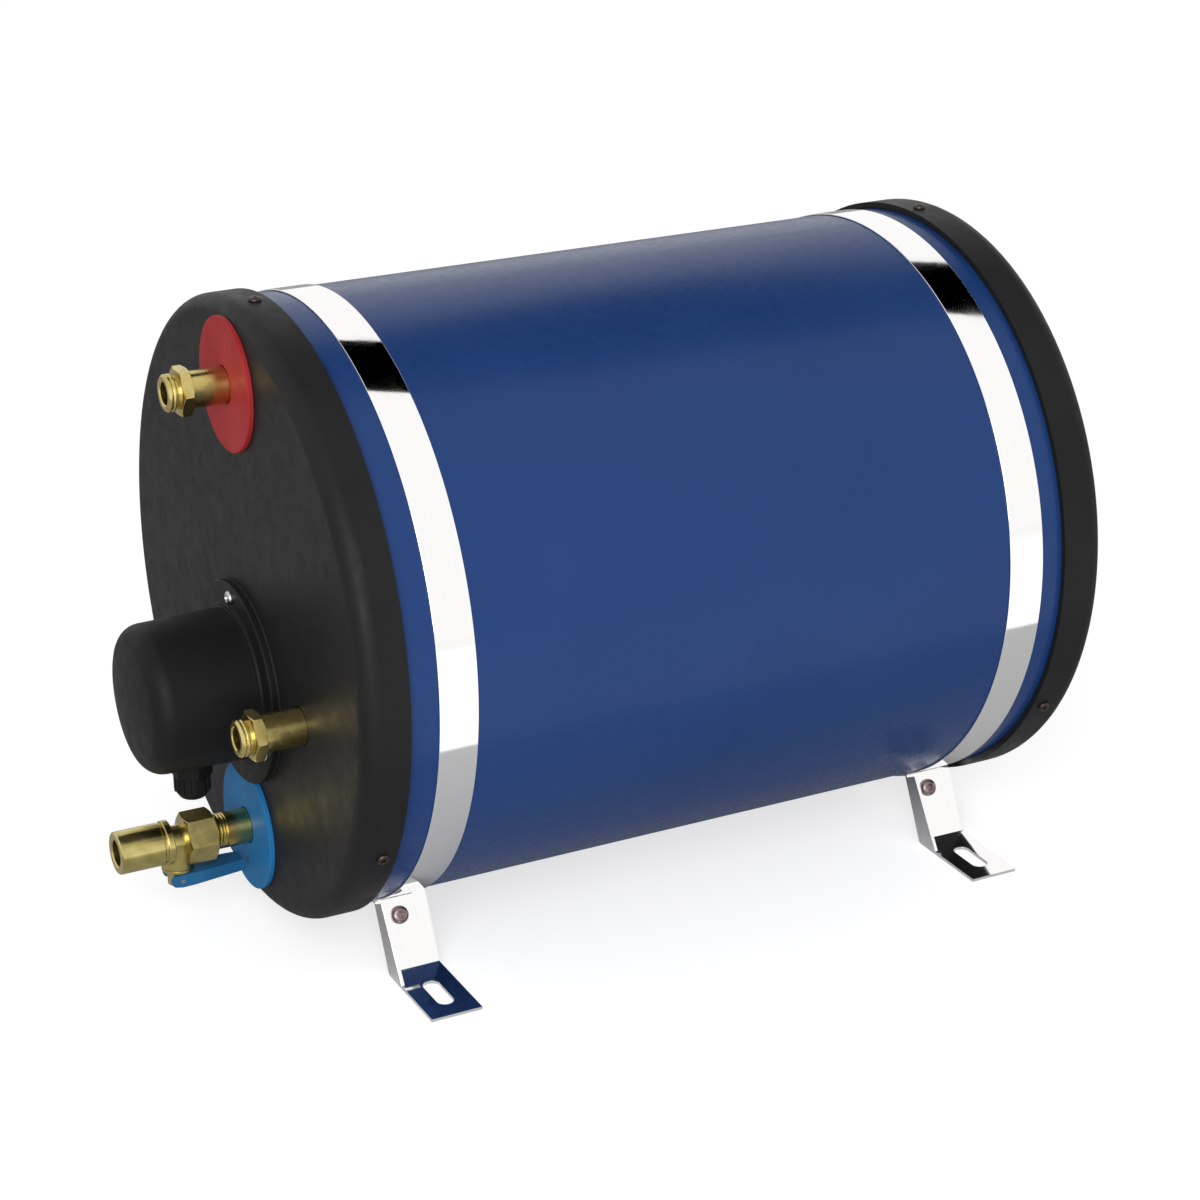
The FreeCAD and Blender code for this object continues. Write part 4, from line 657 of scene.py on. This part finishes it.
def nipple_model():
    """A pipe connection: plain shank, hexagon, groove and a short threaded tip."""
    outline = shank(0, SHANK_END) + [(SHANK_END + 0.2, NECK_RADIUS), (TIP_FROM, NECK_RADIUS)]
    outline += thread(TIP_FROM, TIP_TO, TIP_RADIUS)
    outline += [(NIPPLE_END, TIP_EDGE), (NIPPLE_END, 0)]
    model = turned("nipple_model", outline)
    combine(model, hexagon(NIPPLE_FLATS, COLLAR_FROM, COLLAR_TO), "UNION")
    bore = [(NIPPLE_BACK - OVERRUN, 0), (NIPPLE_BACK - OVERRUN, NIPPLE_BORE),
            (NIPPLE_END - CHAMFER, NIPPLE_BORE), (NIPPLE_END + 0.1, MOUTH_RADIUS),
            (NIPPLE_END + OVERRUN, MOUTH_RADIUS), (NIPPLE_END + OVERRUN, 0)]
    return combine(model, turned("bore", bore), "DIFFERENCE")


def build_nipples():
    model = nipple_model()
    for node in ("hot_nipple", "coil_flow_nipple", "coil_return_nipple"):
        finish(place(model, node.replace("nipple", "connection"), on_front(node), OUT, ACROSS), node)
    discard(model)
    outline = shank(NIPPLE_BORE, COLD_SHANK_END)
    outline += thread(COLD_SHANK_END + 0.5, COLD_THREAD_TO, NIPPLE_RADIUS)
    outline += [(COLD_END, TIP_EDGE), (COLD_END, NIPPLE_BORE), (NIPPLE_BACK, NIPPLE_BORE)]
    model = turned("cold_model", outline)
    finish(place(model, "cold_connection", on_front("cold_nipple"), OUT), "cold_nipple")
    discard(model)


# The safety valve on the cold inlet. Its body's heights run outwards from the front cap's face,
# those of its branch run down from the inlet's axis, and those of the spout away from the branch.
# In the upright model, HANGING is the side that hangs down once the valve is on the heater.

VALVE_FLATS = 27
VALVE_HEX_FROM = 24
VALVE_HEX_TO = 42
VALVE_NECK_FROM = 30
VALVE_NECK = 9
VALVE_RING_FROM = 50
VALVE_RING_TO = 54
VALVE_RING = 13
TUBE_FROM = 56.2
TUBE_RADIUS = 12.5
TUBE_GROOVE = 0.6
TUBE_EDGE = 0.8
VALVE_END = 82

SOCKET_END = 37
CHAMBER_RADIUS = 7
SEAT_FROM = 60
SEAT_TO = 62
SEAT_RADIUS = 4.5
INLET_RADIUS = 7.7
INLET_EDGE = 0.9

VALVE_BRANCH = 46
BRANCH_RADIUS = 9.2
BRANCH_LENGTH = 15.9
RELIEF_FROM = 2
RELIEF_PORT = 3.5
RELIEF_SEAT = 8.5
RELIEF_BORE = 5.8

DRAIN_DROP = 10.9
DRAIN_FROM = 3
DRAIN_BORE = 2.3
SPOUT_FROM = 5
SPOUT_RADIUS = 4.2
SPOUT_BEAD = 0.6
BEAD_FROM = 12.5
SPOUT_LENGTH = 24

HANGING = Vector((0, -1, 0))
BRANCH_PLACE = Vector((0, 0, VALVE_BRANCH * MM))
SPOUT_PLACE = BRANCH_PLACE + HANGING * DRAIN_DROP * MM


def valve_solid():
    """Hexagon, neck, ring and inlet tube, with the relief branch and its drain spout."""
    groove = TUBE_RADIUS - TUBE_GROOVE
    outline = [(VALVE_NECK_FROM, 0), (VALVE_NECK_FROM, VALVE_NECK), (VALVE_RING_FROM, VALVE_NECK, 1.0),
               (VALVE_RING_FROM, VALVE_RING, 0.5), (VALVE_RING_TO, VALVE_RING, 0.5),
               (VALVE_RING_TO, groove), (TUBE_FROM - TUBE_GROOVE, groove), (TUBE_FROM, TUBE_RADIUS),
               (VALVE_END - TUBE_EDGE, TUBE_RADIUS), (VALVE_END, TUBE_RADIUS - TUBE_EDGE), (VALVE_END, 0)]
    body = turned("valve_casting", rounded(outline))
    combine(body, hexagon(VALVE_FLATS, VALVE_HEX_FROM, VALVE_HEX_TO), "UNION")
    branch = turned("branch", rounded([(0, 0), (0, BRANCH_RADIUS), (BRANCH_LENGTH - 2.3, BRANCH_RADIUS),
                                       (BRANCH_LENGTH, BRANCH_RADIUS, 0.6), (BRANCH_LENGTH, 0)]))
    combine(body, place(branch, "branch_placed", BRANCH_PLACE, HANGING), "UNION")
    bead = SPOUT_RADIUS + SPOUT_BEAD
    outline = [(SPOUT_FROM, 0), (SPOUT_FROM, SPOUT_RADIUS), (BEAD_FROM, SPOUT_RADIUS, 0.3),
               (BEAD_FROM + 0.3, bead), (SPOUT_LENGTH - SPOUT_BEAD, bead), (SPOUT_LENGTH, SPOUT_RADIUS),
               (SPOUT_LENGTH, 0)]
    spout = turned("spout", rounded(outline))
    combine(body, place(spout, "spout_placed", SPOUT_PLACE, -ACROSS), "UNION")
    discard(branch)
    discard(spout)
    return body


def valve_hollow():
    """The waterway through the valve, with the bores of the branch and the spout joined on."""
    mouth = INLET_RADIUS + INLET_EDGE
    waterway = [(VALVE_HEX_FROM - OVERRUN, 0), (VALVE_HEX_FROM - OVERRUN, NIPPLE_RADIUS),
                (SOCKET_END, NIPPLE_RADIUS), (SOCKET_END, CHAMBER_RADIUS), (SEAT_FROM, CHAMBER_RADIUS),
                (SEAT_FROM, SEAT_RADIUS), (SEAT_TO, SEAT_RADIUS), (SEAT_TO, INLET_RADIUS),
                (VALVE_END - TUBE_EDGE, INLET_RADIUS), (VALVE_END + 0.1, mouth),
                (VALVE_END + OVERRUN, mouth), (VALVE_END + OVERRUN, 0)]
    hollow = turned("waterway", waterway)
    relief_end = BRANCH_LENGTH + OVERRUN
    relief_way = turned("relief_way", [(RELIEF_FROM, 0), (RELIEF_FROM, RELIEF_PORT),
                                       (RELIEF_SEAT, RELIEF_PORT), (RELIEF_SEAT, RELIEF_BORE),
                                       (relief_end, RELIEF_BORE), (relief_end, 0)])
    combine(hollow, place(relief_way, "relief_way_placed", BRANCH_PLACE, HANGING), "UNION")
    drain_end = SPOUT_LENGTH + OVERRUN
    drain_way = turned("drain_way", [(DRAIN_FROM, 0), (DRAIN_FROM, DRAIN_BORE), (drain_end, DRAIN_BORE),
                                     (drain_end, 0)], SMALL_TURN_STEPS)
    combine(hollow, place(drain_way, "drain_way_placed", SPOUT_PLACE, -ACROSS), "UNION")
    discard(relief_way)
    discard(drain_way)
    return hollow


def build_valve():
    """The valve's casting: one solid, from which one hollow is taken."""
    body = combine(valve_solid(), valve_hollow(), "DIFFERENCE")
    finish(place(body, "safety_valve_casting", on_front("cold_nipple"), OUT, ACROSS), "valve_body")
    discard(body)


# Marker discs

DISC_RADIUS = 38
DISC_BORE = 10.8
DISC_THICKNESS = 3
DISC_STEPS = 128
NOTCH_RADIUS = 59.3
NOTCH_STEPS = 192
NOTCH_EDGE = 0.3


def build_discs():
    """The red plate, and the blue one with a notch round the cover's flange."""
    outline = [(0, DISC_BORE), (0, DISC_RADIUS, 0.3), (DISC_THICKNESS, DISC_RADIUS, 0.7),
               (DISC_THICKNESS, DISC_BORE, 0.4)]
    model = turned("disc_model", rounded(outline, closed=True), DISC_STEPS)
    finish(place(model, "hot_marker_plate", on_front("hot_marker_disc"), OUT), "hot_marker_disc")
    cold = place(model, "cold_marker_plate", on_front("cold_nipple"), OUT)
    top = DISC_THICKNESS + OVERRUN
    notch = turned("notch", [(-OVERRUN, 0), (-OVERRUN, NOTCH_RADIUS), (top, NOTCH_RADIUS), (top, 0)],
                   NOTCH_STEPS)
    combine(cold, place(notch, "notch_placed", COVER_CENTRE, OUT), "DIFFERENCE")
    soften(cold, NOTCH_EDGE)
    finish(cold, "cold_marker_disc")
    discard(notch)
    discard(model)


# The element cover and its cable gland. The cover's heights run outwards from the front cap's face,
# and those of the gland run down from the cover's axis.

GASKET_THICKNESS = 1.5
FLANGE_FACE = 5.5
FLANGE_RADIUS = 59
FOOT_RING_RADIUS = 47.0
CUP_FOOT_RADIUS = 43.95
CUP_RADIUS = 43
CUP_WALL = 2.5
CUP_SHOULDER = 65
CUP_CROWN = 4
CROWN_RADII = (26, 18, 9, 0)
CUP_MOUTH_RADIUS = 41.4
COVER_STEPS = 160
GLAND_OUT = 34
PAD_FROM = 39
PAD_FACE = 45.8
PAD_RADIUS = 13
CABLE_HOLE = 8.1
GLAND_PLACE = COVER_CENTRE + OUT * GLAND_OUT * MM


def crown(radius, edge, shoulder):
    """The height of the cup's domed end at a radius."""
    return shoulder + CUP_CROWN * (1 - (radius / edge) ** 2)


def build_cover():
    """A moulded cup on a screwed flange, hollow, with a pad for the cable gland below."""
    outer = [(GASKET_THICKNESS, FLANGE_RADIUS, 0.5), (FLANGE_FACE, FLANGE_RADIUS, 1.2),
             (FLANGE_FACE, FOOT_RING_RADIUS, 0.6), (FLANGE_FACE + 1.7, FOOT_RING_RADIUS - 0.4, 0.7),
             (FLANGE_FACE + 1.9, CUP_FOOT_RADIUS, 0.4), (CUP_SHOULDER, CUP_RADIUS, 12)]
    outer += [(crown(radius, CUP_RADIUS, CUP_SHOULDER), radius) for radius in CROWN_RADII]
    bore = CUP_RADIUS - CUP_WALL
    ceiling = CUP_SHOULDER - CUP_WALL
    inner = [(crown(radius, bore, ceiling), radius) for radius in reversed(CROWN_RADII)]
    inner += [(ceiling, bore, 9.5), (GASKET_THICKNESS, CUP_MOUTH_RADIUS)]
    model = turned("cover_model", rounded(outer + inner, closed=True, parts=8), COVER_STEPS)
    cover = place(model, "element_cover_moulding", COVER_CENTRE, OUT)
    pad = turned("pad", rounded([(PAD_FROM, 0), (PAD_FROM, PAD_RADIUS), (PAD_FACE, PAD_RADIUS, 0.8),
                                 (PAD_FACE, 0)]))
    combine(cover, place(pad, "pad_placed", GLAND_PLACE, -UP), "UNION")
    inside = PAD_FROM - 3
    outside = PAD_FACE + OVERRUN
    hole = turned("hole", [(inside, 0), (inside, CABLE_HOLE), (outside, CABLE_HOLE), (outside, 0)])
    combine(cover, place(hole, "hole_placed", GLAND_PLACE, -UP), "DIFFERENCE")
    for part in (model, pad, hole):
        discard(part)
    finish(cover, "element_cover")


CLAMP_FROM = 51.1
CLAMP_END = 64.5
CLAMP_RADIUS = 10.0
CLAMP_BORE = 8.0
CLAMP_SHOULDER = 60.4
CLAMP_FACE_RADIUS = 7.4
CLAMP_DEPTH = 62.4
CORD_HOLE = 5.0
CLAMP_STEPS = 48
STEPS_A_RIB = 3
RIB_END = 59.8
RIB_HEIGHT = 0.7


def build_gland_nut():
    """A domed clamping nut with grip ribs round it."""
    outline = [(CLAMP_FROM, CLAMP_BORE), (CLAMP_FROM, CLAMP_RADIUS, 0.4), (RIB_END, CLAMP_RADIUS),
               (CLAMP_SHOULDER, CLAMP_RADIUS, 0.5), (CLAMP_END, CLAMP_FACE_RADIUS, 1.6),
               (CLAMP_END, CORD_HOLE, 0.4), (CLAMP_DEPTH, CORD_HOLE), (CLAMP_DEPTH, CLAMP_BORE)]
    model = turned("gland_nut_model", rounded(outline, closed=True), CLAMP_STEPS)

    def on_rib(face):
        step = math.floor(math.atan2(face.center.y, face.center.x) / math.tau * CLAMP_STEPS)
        faces_out = face.normal.xy.dot(face.center.xy.normalized()) > 0.99
        outside = face.center.xy.length > (CLAMP_BORE + 1) * MM
        return faces_out and outside and step % STEPS_A_RIB == 0

    edit(model, "FACE", on_rib)
    bpy.ops.mesh.inset(thickness=0.15 * MM, depth=RIB_HEIGHT * MM, use_even_offset=True)
    close_edit()
    finish(place(model, "gland_clamp_nut", GLAND_PLACE, -UP), "gland_nut")
    discard(model)


# Screws, bolts and nuts

SCREW_ANGLES = (90, -30, -150)
COVER_SCREW_CIRCLE = 52
RECESS_LENGTH = 1.15
RECESS_WIDTH = 0.28
RECESS_DEPTH = 1.1
RECESS_TAPER = 0.55
RECESS_TURN = 20


def screw_model(head, height, core, length):
    """A pan-head screw with a cross recess and its seat at height 0; head and core are radii."""
    outline = rounded([(-length, 0), (-length, core * 0.6), (-length + core, core), (0, core),
                       (0, head, 0.15), (height, head, height * 0.7), (height, 0)])
    model = turned("screw_model", outline, SMALL_TURN_STEPS)
    for turn in (0, math.pi / 2):
        bpy.ops.mesh.primitive_cube_add(size=1, location=(0, 0, height * MM), rotation=(0, 0, turn),
                                        scale=(head * RECESS_LENGTH * MM, head * RECESS_WIDTH * MM,
                                               height * RECESS_DEPTH * MM))
        arm = bpy.context.object
        settle(arm)
        edit(arm, "FACE", lambda face: face.normal.z < -0.9)
        bpy.ops.transform.resize(value=(RECESS_TAPER, RECESS_TAPER, 1), center_override=(0, 0, 0))
        bpy.ops.object.mode_set(mode="OBJECT")
        combine(model, arm, "DIFFERENCE")
    return model


def radial(angle):
    """The direction at an angle from +X towards +Z, square to the heater's length."""
    return Vector((math.cos(math.radians(angle)), 0, math.sin(math.radians(angle))))


def build_screws():
    model = screw_model(head=3.6, height=2.2, core=1.9, length=7.8)
    for end, node in (("front", "front_cap_screws"), ("rear", "rear_cap_screws")):
        middle = AXIS + Vector((0, middle_of(node).y, 0))
        for number, angle in enumerate(SCREW_ANGLES, 1):
            seat = middle + radial(angle) * CAP_RADIUS * MM
            screw = place(model, f"{end}_cap_screw_{number}", seat, radial(angle), OUT)
            finish(screw, node, CAP_SCREW_FINISH)
    discard(model)
    model = screw_model(head=4.0, height=2.5, core=1.8, length=16.5)
    for number, angle in enumerate(SCREW_ANGLES, 1):
        seat = COVER_CENTRE + radial(angle) * COVER_SCREW_CIRCLE * MM + OUT * FLANGE_FACE * MM
        screw = place(model, f"cover_screw_{number}", seat, OUT, radial(angle + RECESS_TURN))
        finish(screw, "cover_screws")
    discard(model)


WEB_ANGLE = 26.7
BOLT_DISTANCE = 187.1
LUG_SETBACK = 2.3
STRAP_THICKNESS = 0.9
FOOT_THICKNESS = 2.0
BOLT_LENGTH = 10
BOLT_RADIUS = 2.95
BOLT_TIP = 2.2
BOLT_STEPS = 64
BUTTON_RADIUS = 5.25
BUTTON_HEIGHT = 3.3
HEX_SOCKET_RADIUS = 2.5
HEX_SOCKET_FLOOR = 0.9
HEX_SOCKET_CUT = 4
NUT_FLATS = 10
NUT_HEIGHT = 5
NUT_MOUTH = 3.5


def web_directions(side):
    """Outwards along a foot's web, and square to it on its outer side."""
    tilt = math.radians(WEB_ANGLE)
    return (Vector((side * math.sin(tilt), 0, -math.cos(tilt))),
            Vector((side * math.cos(tilt), 0, math.sin(tilt))))


def build_bolts():
    """Button-head bolts with a hexagon socket, and their nuts inside the webs."""
    outline = [(-BOLT_LENGTH, 0), (-BOLT_LENGTH, BOLT_TIP), (-BOLT_LENGTH + 0.8, BOLT_RADIUS),
               (0, BOLT_RADIUS), (0, BUTTON_RADIUS, 0.15), (BUTTON_HEIGHT, BUTTON_RADIUS, 2.6),
               (BUTTON_HEIGHT, 0)]
    bolt = turned("bolt_model", rounded(outline), BOLT_STEPS)
    deselect()
    socket_middle = HEX_SOCKET_FLOOR + HEX_SOCKET_CUT / 2
    bpy.ops.mesh.primitive_cylinder_add(vertices=6, radius=HEX_SOCKET_RADIUS * MM,
                                        depth=HEX_SOCKET_CUT * MM, location=(0, 0, socket_middle * MM))
    combine(bolt, bpy.context.object, "DIFFERENCE")
    nut = hexagon(NUT_FLATS, 0, NUT_HEIGHT)
    hole = [(-OVERRUN, 0), (-OVERRUN, NUT_MOUTH), (0.5, BOLT_RADIUS), (NUT_HEIGHT - 0.5, BOLT_RADIUS),
            (NUT_HEIGHT + OVERRUN, NUT_MOUTH), (NUT_HEIGHT + OVERRUN, 0)]
    combine(nut, turned("nut_hole", hole, SMALL_TURN_STEPS), "DIFFERENCE")
    for end in ("front", "rear"):
        middle = AXIS + Vector((0, middle_of(end + "_strap").y + LUG_SETBACK / 2 * MM, 0))
        for hand, side in (("right", 1), ("left", -1)):
            along, outer = web_directions(side)
            hole_place = middle + along * BOLT_DISTANCE * MM
            seat = hole_place + outer * STRAP_THICKNESS * MM
            screwed = place(bolt, f"{end}_{hand}_bolt", seat, outer, along)
            finish(screwed, "strap_bolts", STRAP_BOLT_FINISH)
            under = hole_place - outer * FOOT_THICKNESS * MM
            finish(place(nut, f"{end}_{hand}_nut", under, -outer, along), "strap_nuts")
    discard(bolt)
    discard(nut)


# Straps. A bend's centre lies BEND_REACH along the foot's web from the heater's axis and BEND_OFFSET
# outside the web. LEAN is the angle between the web and the line from the axis to that centre.

STRAP_INNER = 175.1
STRAP_OUTER = STRAP_INNER + STRAP_THICKNESS
STRAP_EDGE = 0.3
STRAP_STEPS = 144
BEND = 1.2
BEND_STEPS = 8
BEND_OFFSET = STRAP_THICKNESS + BEND
BEND_REACH = math.sqrt((STRAP_OUTER + BEND) ** 2 - BEND_OFFSET ** 2)
LEAN = math.asin(BEND_OFFSET / (STRAP_OUTER + BEND))
LUG_END = 197.1


def ring_band(name, low, high):
    """A band round the drum from a front to a back place, open between the feet."""
    start = radial(-90 + WEB_ANGLE + math.degrees(LEAN))
    middle = AXIS + start * (STRAP_INNER + STRAP_THICKNESS / 2) * MM + Vector((0, (low + high) / 2, 0))
    deselect()
    bpy.ops.mesh.primitive_plane_add(size=1, location=middle,
                                     rotation=(0, math.radians(90 - WEB_ANGLE) - LEAN, 0))
    band = bpy.context.object
    band.name = name
    band.scale = (STRAP_THICKNESS * MM, high - low, 1)
    settle(band)
    bpy.ops.object.mode_set(mode="EDIT")
    bpy.ops.mesh.select_mode(type="VERT")
    bpy.ops.mesh.select_all(action="SELECT")
    bpy.ops.mesh.bevel(offset=STRAP_EDGE * MM, segments=3, affect="VERTICES")
    bpy.ops.mesh.select_all(action="SELECT")
    sweep = math.tau - 2 * (math.radians(WEB_ANGLE) + LEAN)
    bpy.ops.mesh.spin(steps=STRAP_STEPS, angle=sweep, center=AXIS, axis=(0, 1, 0))
    close_edit()
    return band


def add_lug(band, side):
    """Bends one end of a band outwards and lengthens it into a lug along the foot's web."""
    along, across = web_directions(side)
    bend_centre = AXIS + along * BEND_REACH * MM + across * BEND_OFFSET * MM
    edge = (bend_centre - AXIS).normalized()
    square = edge.cross(Vector((0, side, 0)))

    def at_end(face):
        arm = face.center - AXIS
        on_edge = arm.dot(edge) > 0 and abs(arm.dot(square)) < 0.1 * MM
        return on_edge and abs(face.normal.dot(square)) > 0.999

    edit(band, "FACE", at_end)
    quarter = math.pi / 2 - LEAN
    bpy.ops.mesh.spin(steps=BEND_STEPS, angle=side * quarter, center=bend_centre, axis=(0, 1, 0))
    straight = along * (LUG_END - BEND_REACH) * MM
    bpy.ops.mesh.extrude_region_move(TRANSFORM_OT_translate={"value": straight})
    close_edit()


def strap_band(name, node):
    """A steel band bent outwards into a bolted lug at each end, set back at the lugs' front edges."""
    low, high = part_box(node)
    band = ring_band(name, low.y, high.y)
    for side in (-1, 1):
        add_lug(band, side)

    def on_lug_front(corner):
        past_bend = (corner.co - AXIS).xz.length > (STRAP_OUTER + 3) * MM
        return past_bend and corner.co.y < low.y + 1 * MM

    edit(band, "VERT", on_lug_front)
    bpy.ops.transform.translate(value=(0, LUG_SETBACK * MM, 0))
    bpy.ops.object.mode_set(mode="OBJECT")
    return band


def build_straps():
    for node in ("front_strap", "rear_strap"):
        finish(strap_band(node + "_band", node), node)


# The two wire springs inside the valve

SPRING_WIRE = 0.4
WIRE_SIDES = 10
STEPS_A_TURN = 24


def spring_model(radius, length, turns):
    """A wire spring of this middle radius that stands on height 0."""
    deselect()
    bpy.ops.mesh.primitive_circle_add(vertices=WIRE_SIDES, radius=SPRING_WIRE * MM,
                                      location=(radius * MM, 0, SPRING_WIRE * MM),
                                      rotation=(math.pi / 2, 0, 0))
    spring = bpy.context.object
    settle(spring)
    coils = spring.modifiers.new("coils", "SCREW")
    coils.angle = math.tau * turns
    coils.screw_offset = (length - 2 * SPRING_WIRE) * MM
    coils.steps = STEPS_A_TURN * turns
    coils.render_steps = coils.steps
    apply_modifier(spring, coils)
    edit(spring)
    bpy.ops.mesh.select_all(action="SELECT")
    bpy.ops.mesh.fill_holes(sides=0)
    close_edit()
    return spring


def build_spring(name, node, radius, turns, along):
    """A spring as long as its node, with its fixed end at the node's end."""
    low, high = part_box(node)
    length = abs((high - low).dot(along)) / MM
    fixed_end = middle_of(node) - along * length / 2 * MM
    model = spring_model(radius, length, turns)
    spring = place(model, name, fixed_end, along)
    discard(model)
    finish(spring, node)
    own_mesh(spring)


def build_springs():
    """The relief valve's spring and the check valve's, each with its radius and turns."""
    build_spring("relief_valve_spring", "relief_spring", 4, 3, UP)
    build_spring("check_valve_spring", "check_spring", 3.2, 5, OUT)


# Pieces whose form comes from their solid, with the edges broken

BROKEN_EDGES = {
    "front_cradle": ("front_foot_bracket", 0.35),
    "rear_cradle": ("rear_foot_bracket", 0.35),
    "relief_lever": ("relief_lever_moulding", 0.9),
    "valve_bonnet": ("relief_valve_bonnet", 0.5),
    "relief_spindle": ("relief_valve_spindle", 0.3),
    "gland_body": ("gland_base", 0.4),
    "cover_gasket": ("cover_flange_gasket", 0.2),
    "gland_locknut": ("gland_inner_nut", 0.3),
    "element_plug": ("element_flange_plug", 0.6),
    "thermostat_body": ("thermostat_housing", 0.8),
    "terminal_block": ("terminal_strip", 0.8),
    "thermostat_dial": ("thermostat_knob", 0.3),
    "reset_button": ("cut_out_button", 0.4),
}


def soft_edged(node, name, width):
    """A copy of a node's solid with its flat faces made whole and its edges rounded."""
    piece = bpy.data.objects.new(name, NODES[node].data.copy())
    bpy.context.scene.collection.objects.link(piece)
    take(piece)
    bpy.ops.mesh.customdata_custom_splitnormals_clear()
    edit(piece)
    bpy.ops.mesh.select_all(action="SELECT")
    bpy.ops.mesh.remove_doubles(threshold=WELD)
    bpy.ops.mesh.dissolve_limited(angle_limit=FLAT)
    bpy.ops.object.mode_set(mode="OBJECT")
    return soften(piece, width)


def build_soft_edged():
    for node, (name, width) in BROKEN_EDGES.items():
        finish(soft_edged(node, name, width), node)


dress_nodes()
build_soft_edged()
build_nipples()
build_valve()
build_discs()
build_cover()
build_gland_nut()
build_screws()
build_bolts()
build_straps()
build_springs()
build_studio()
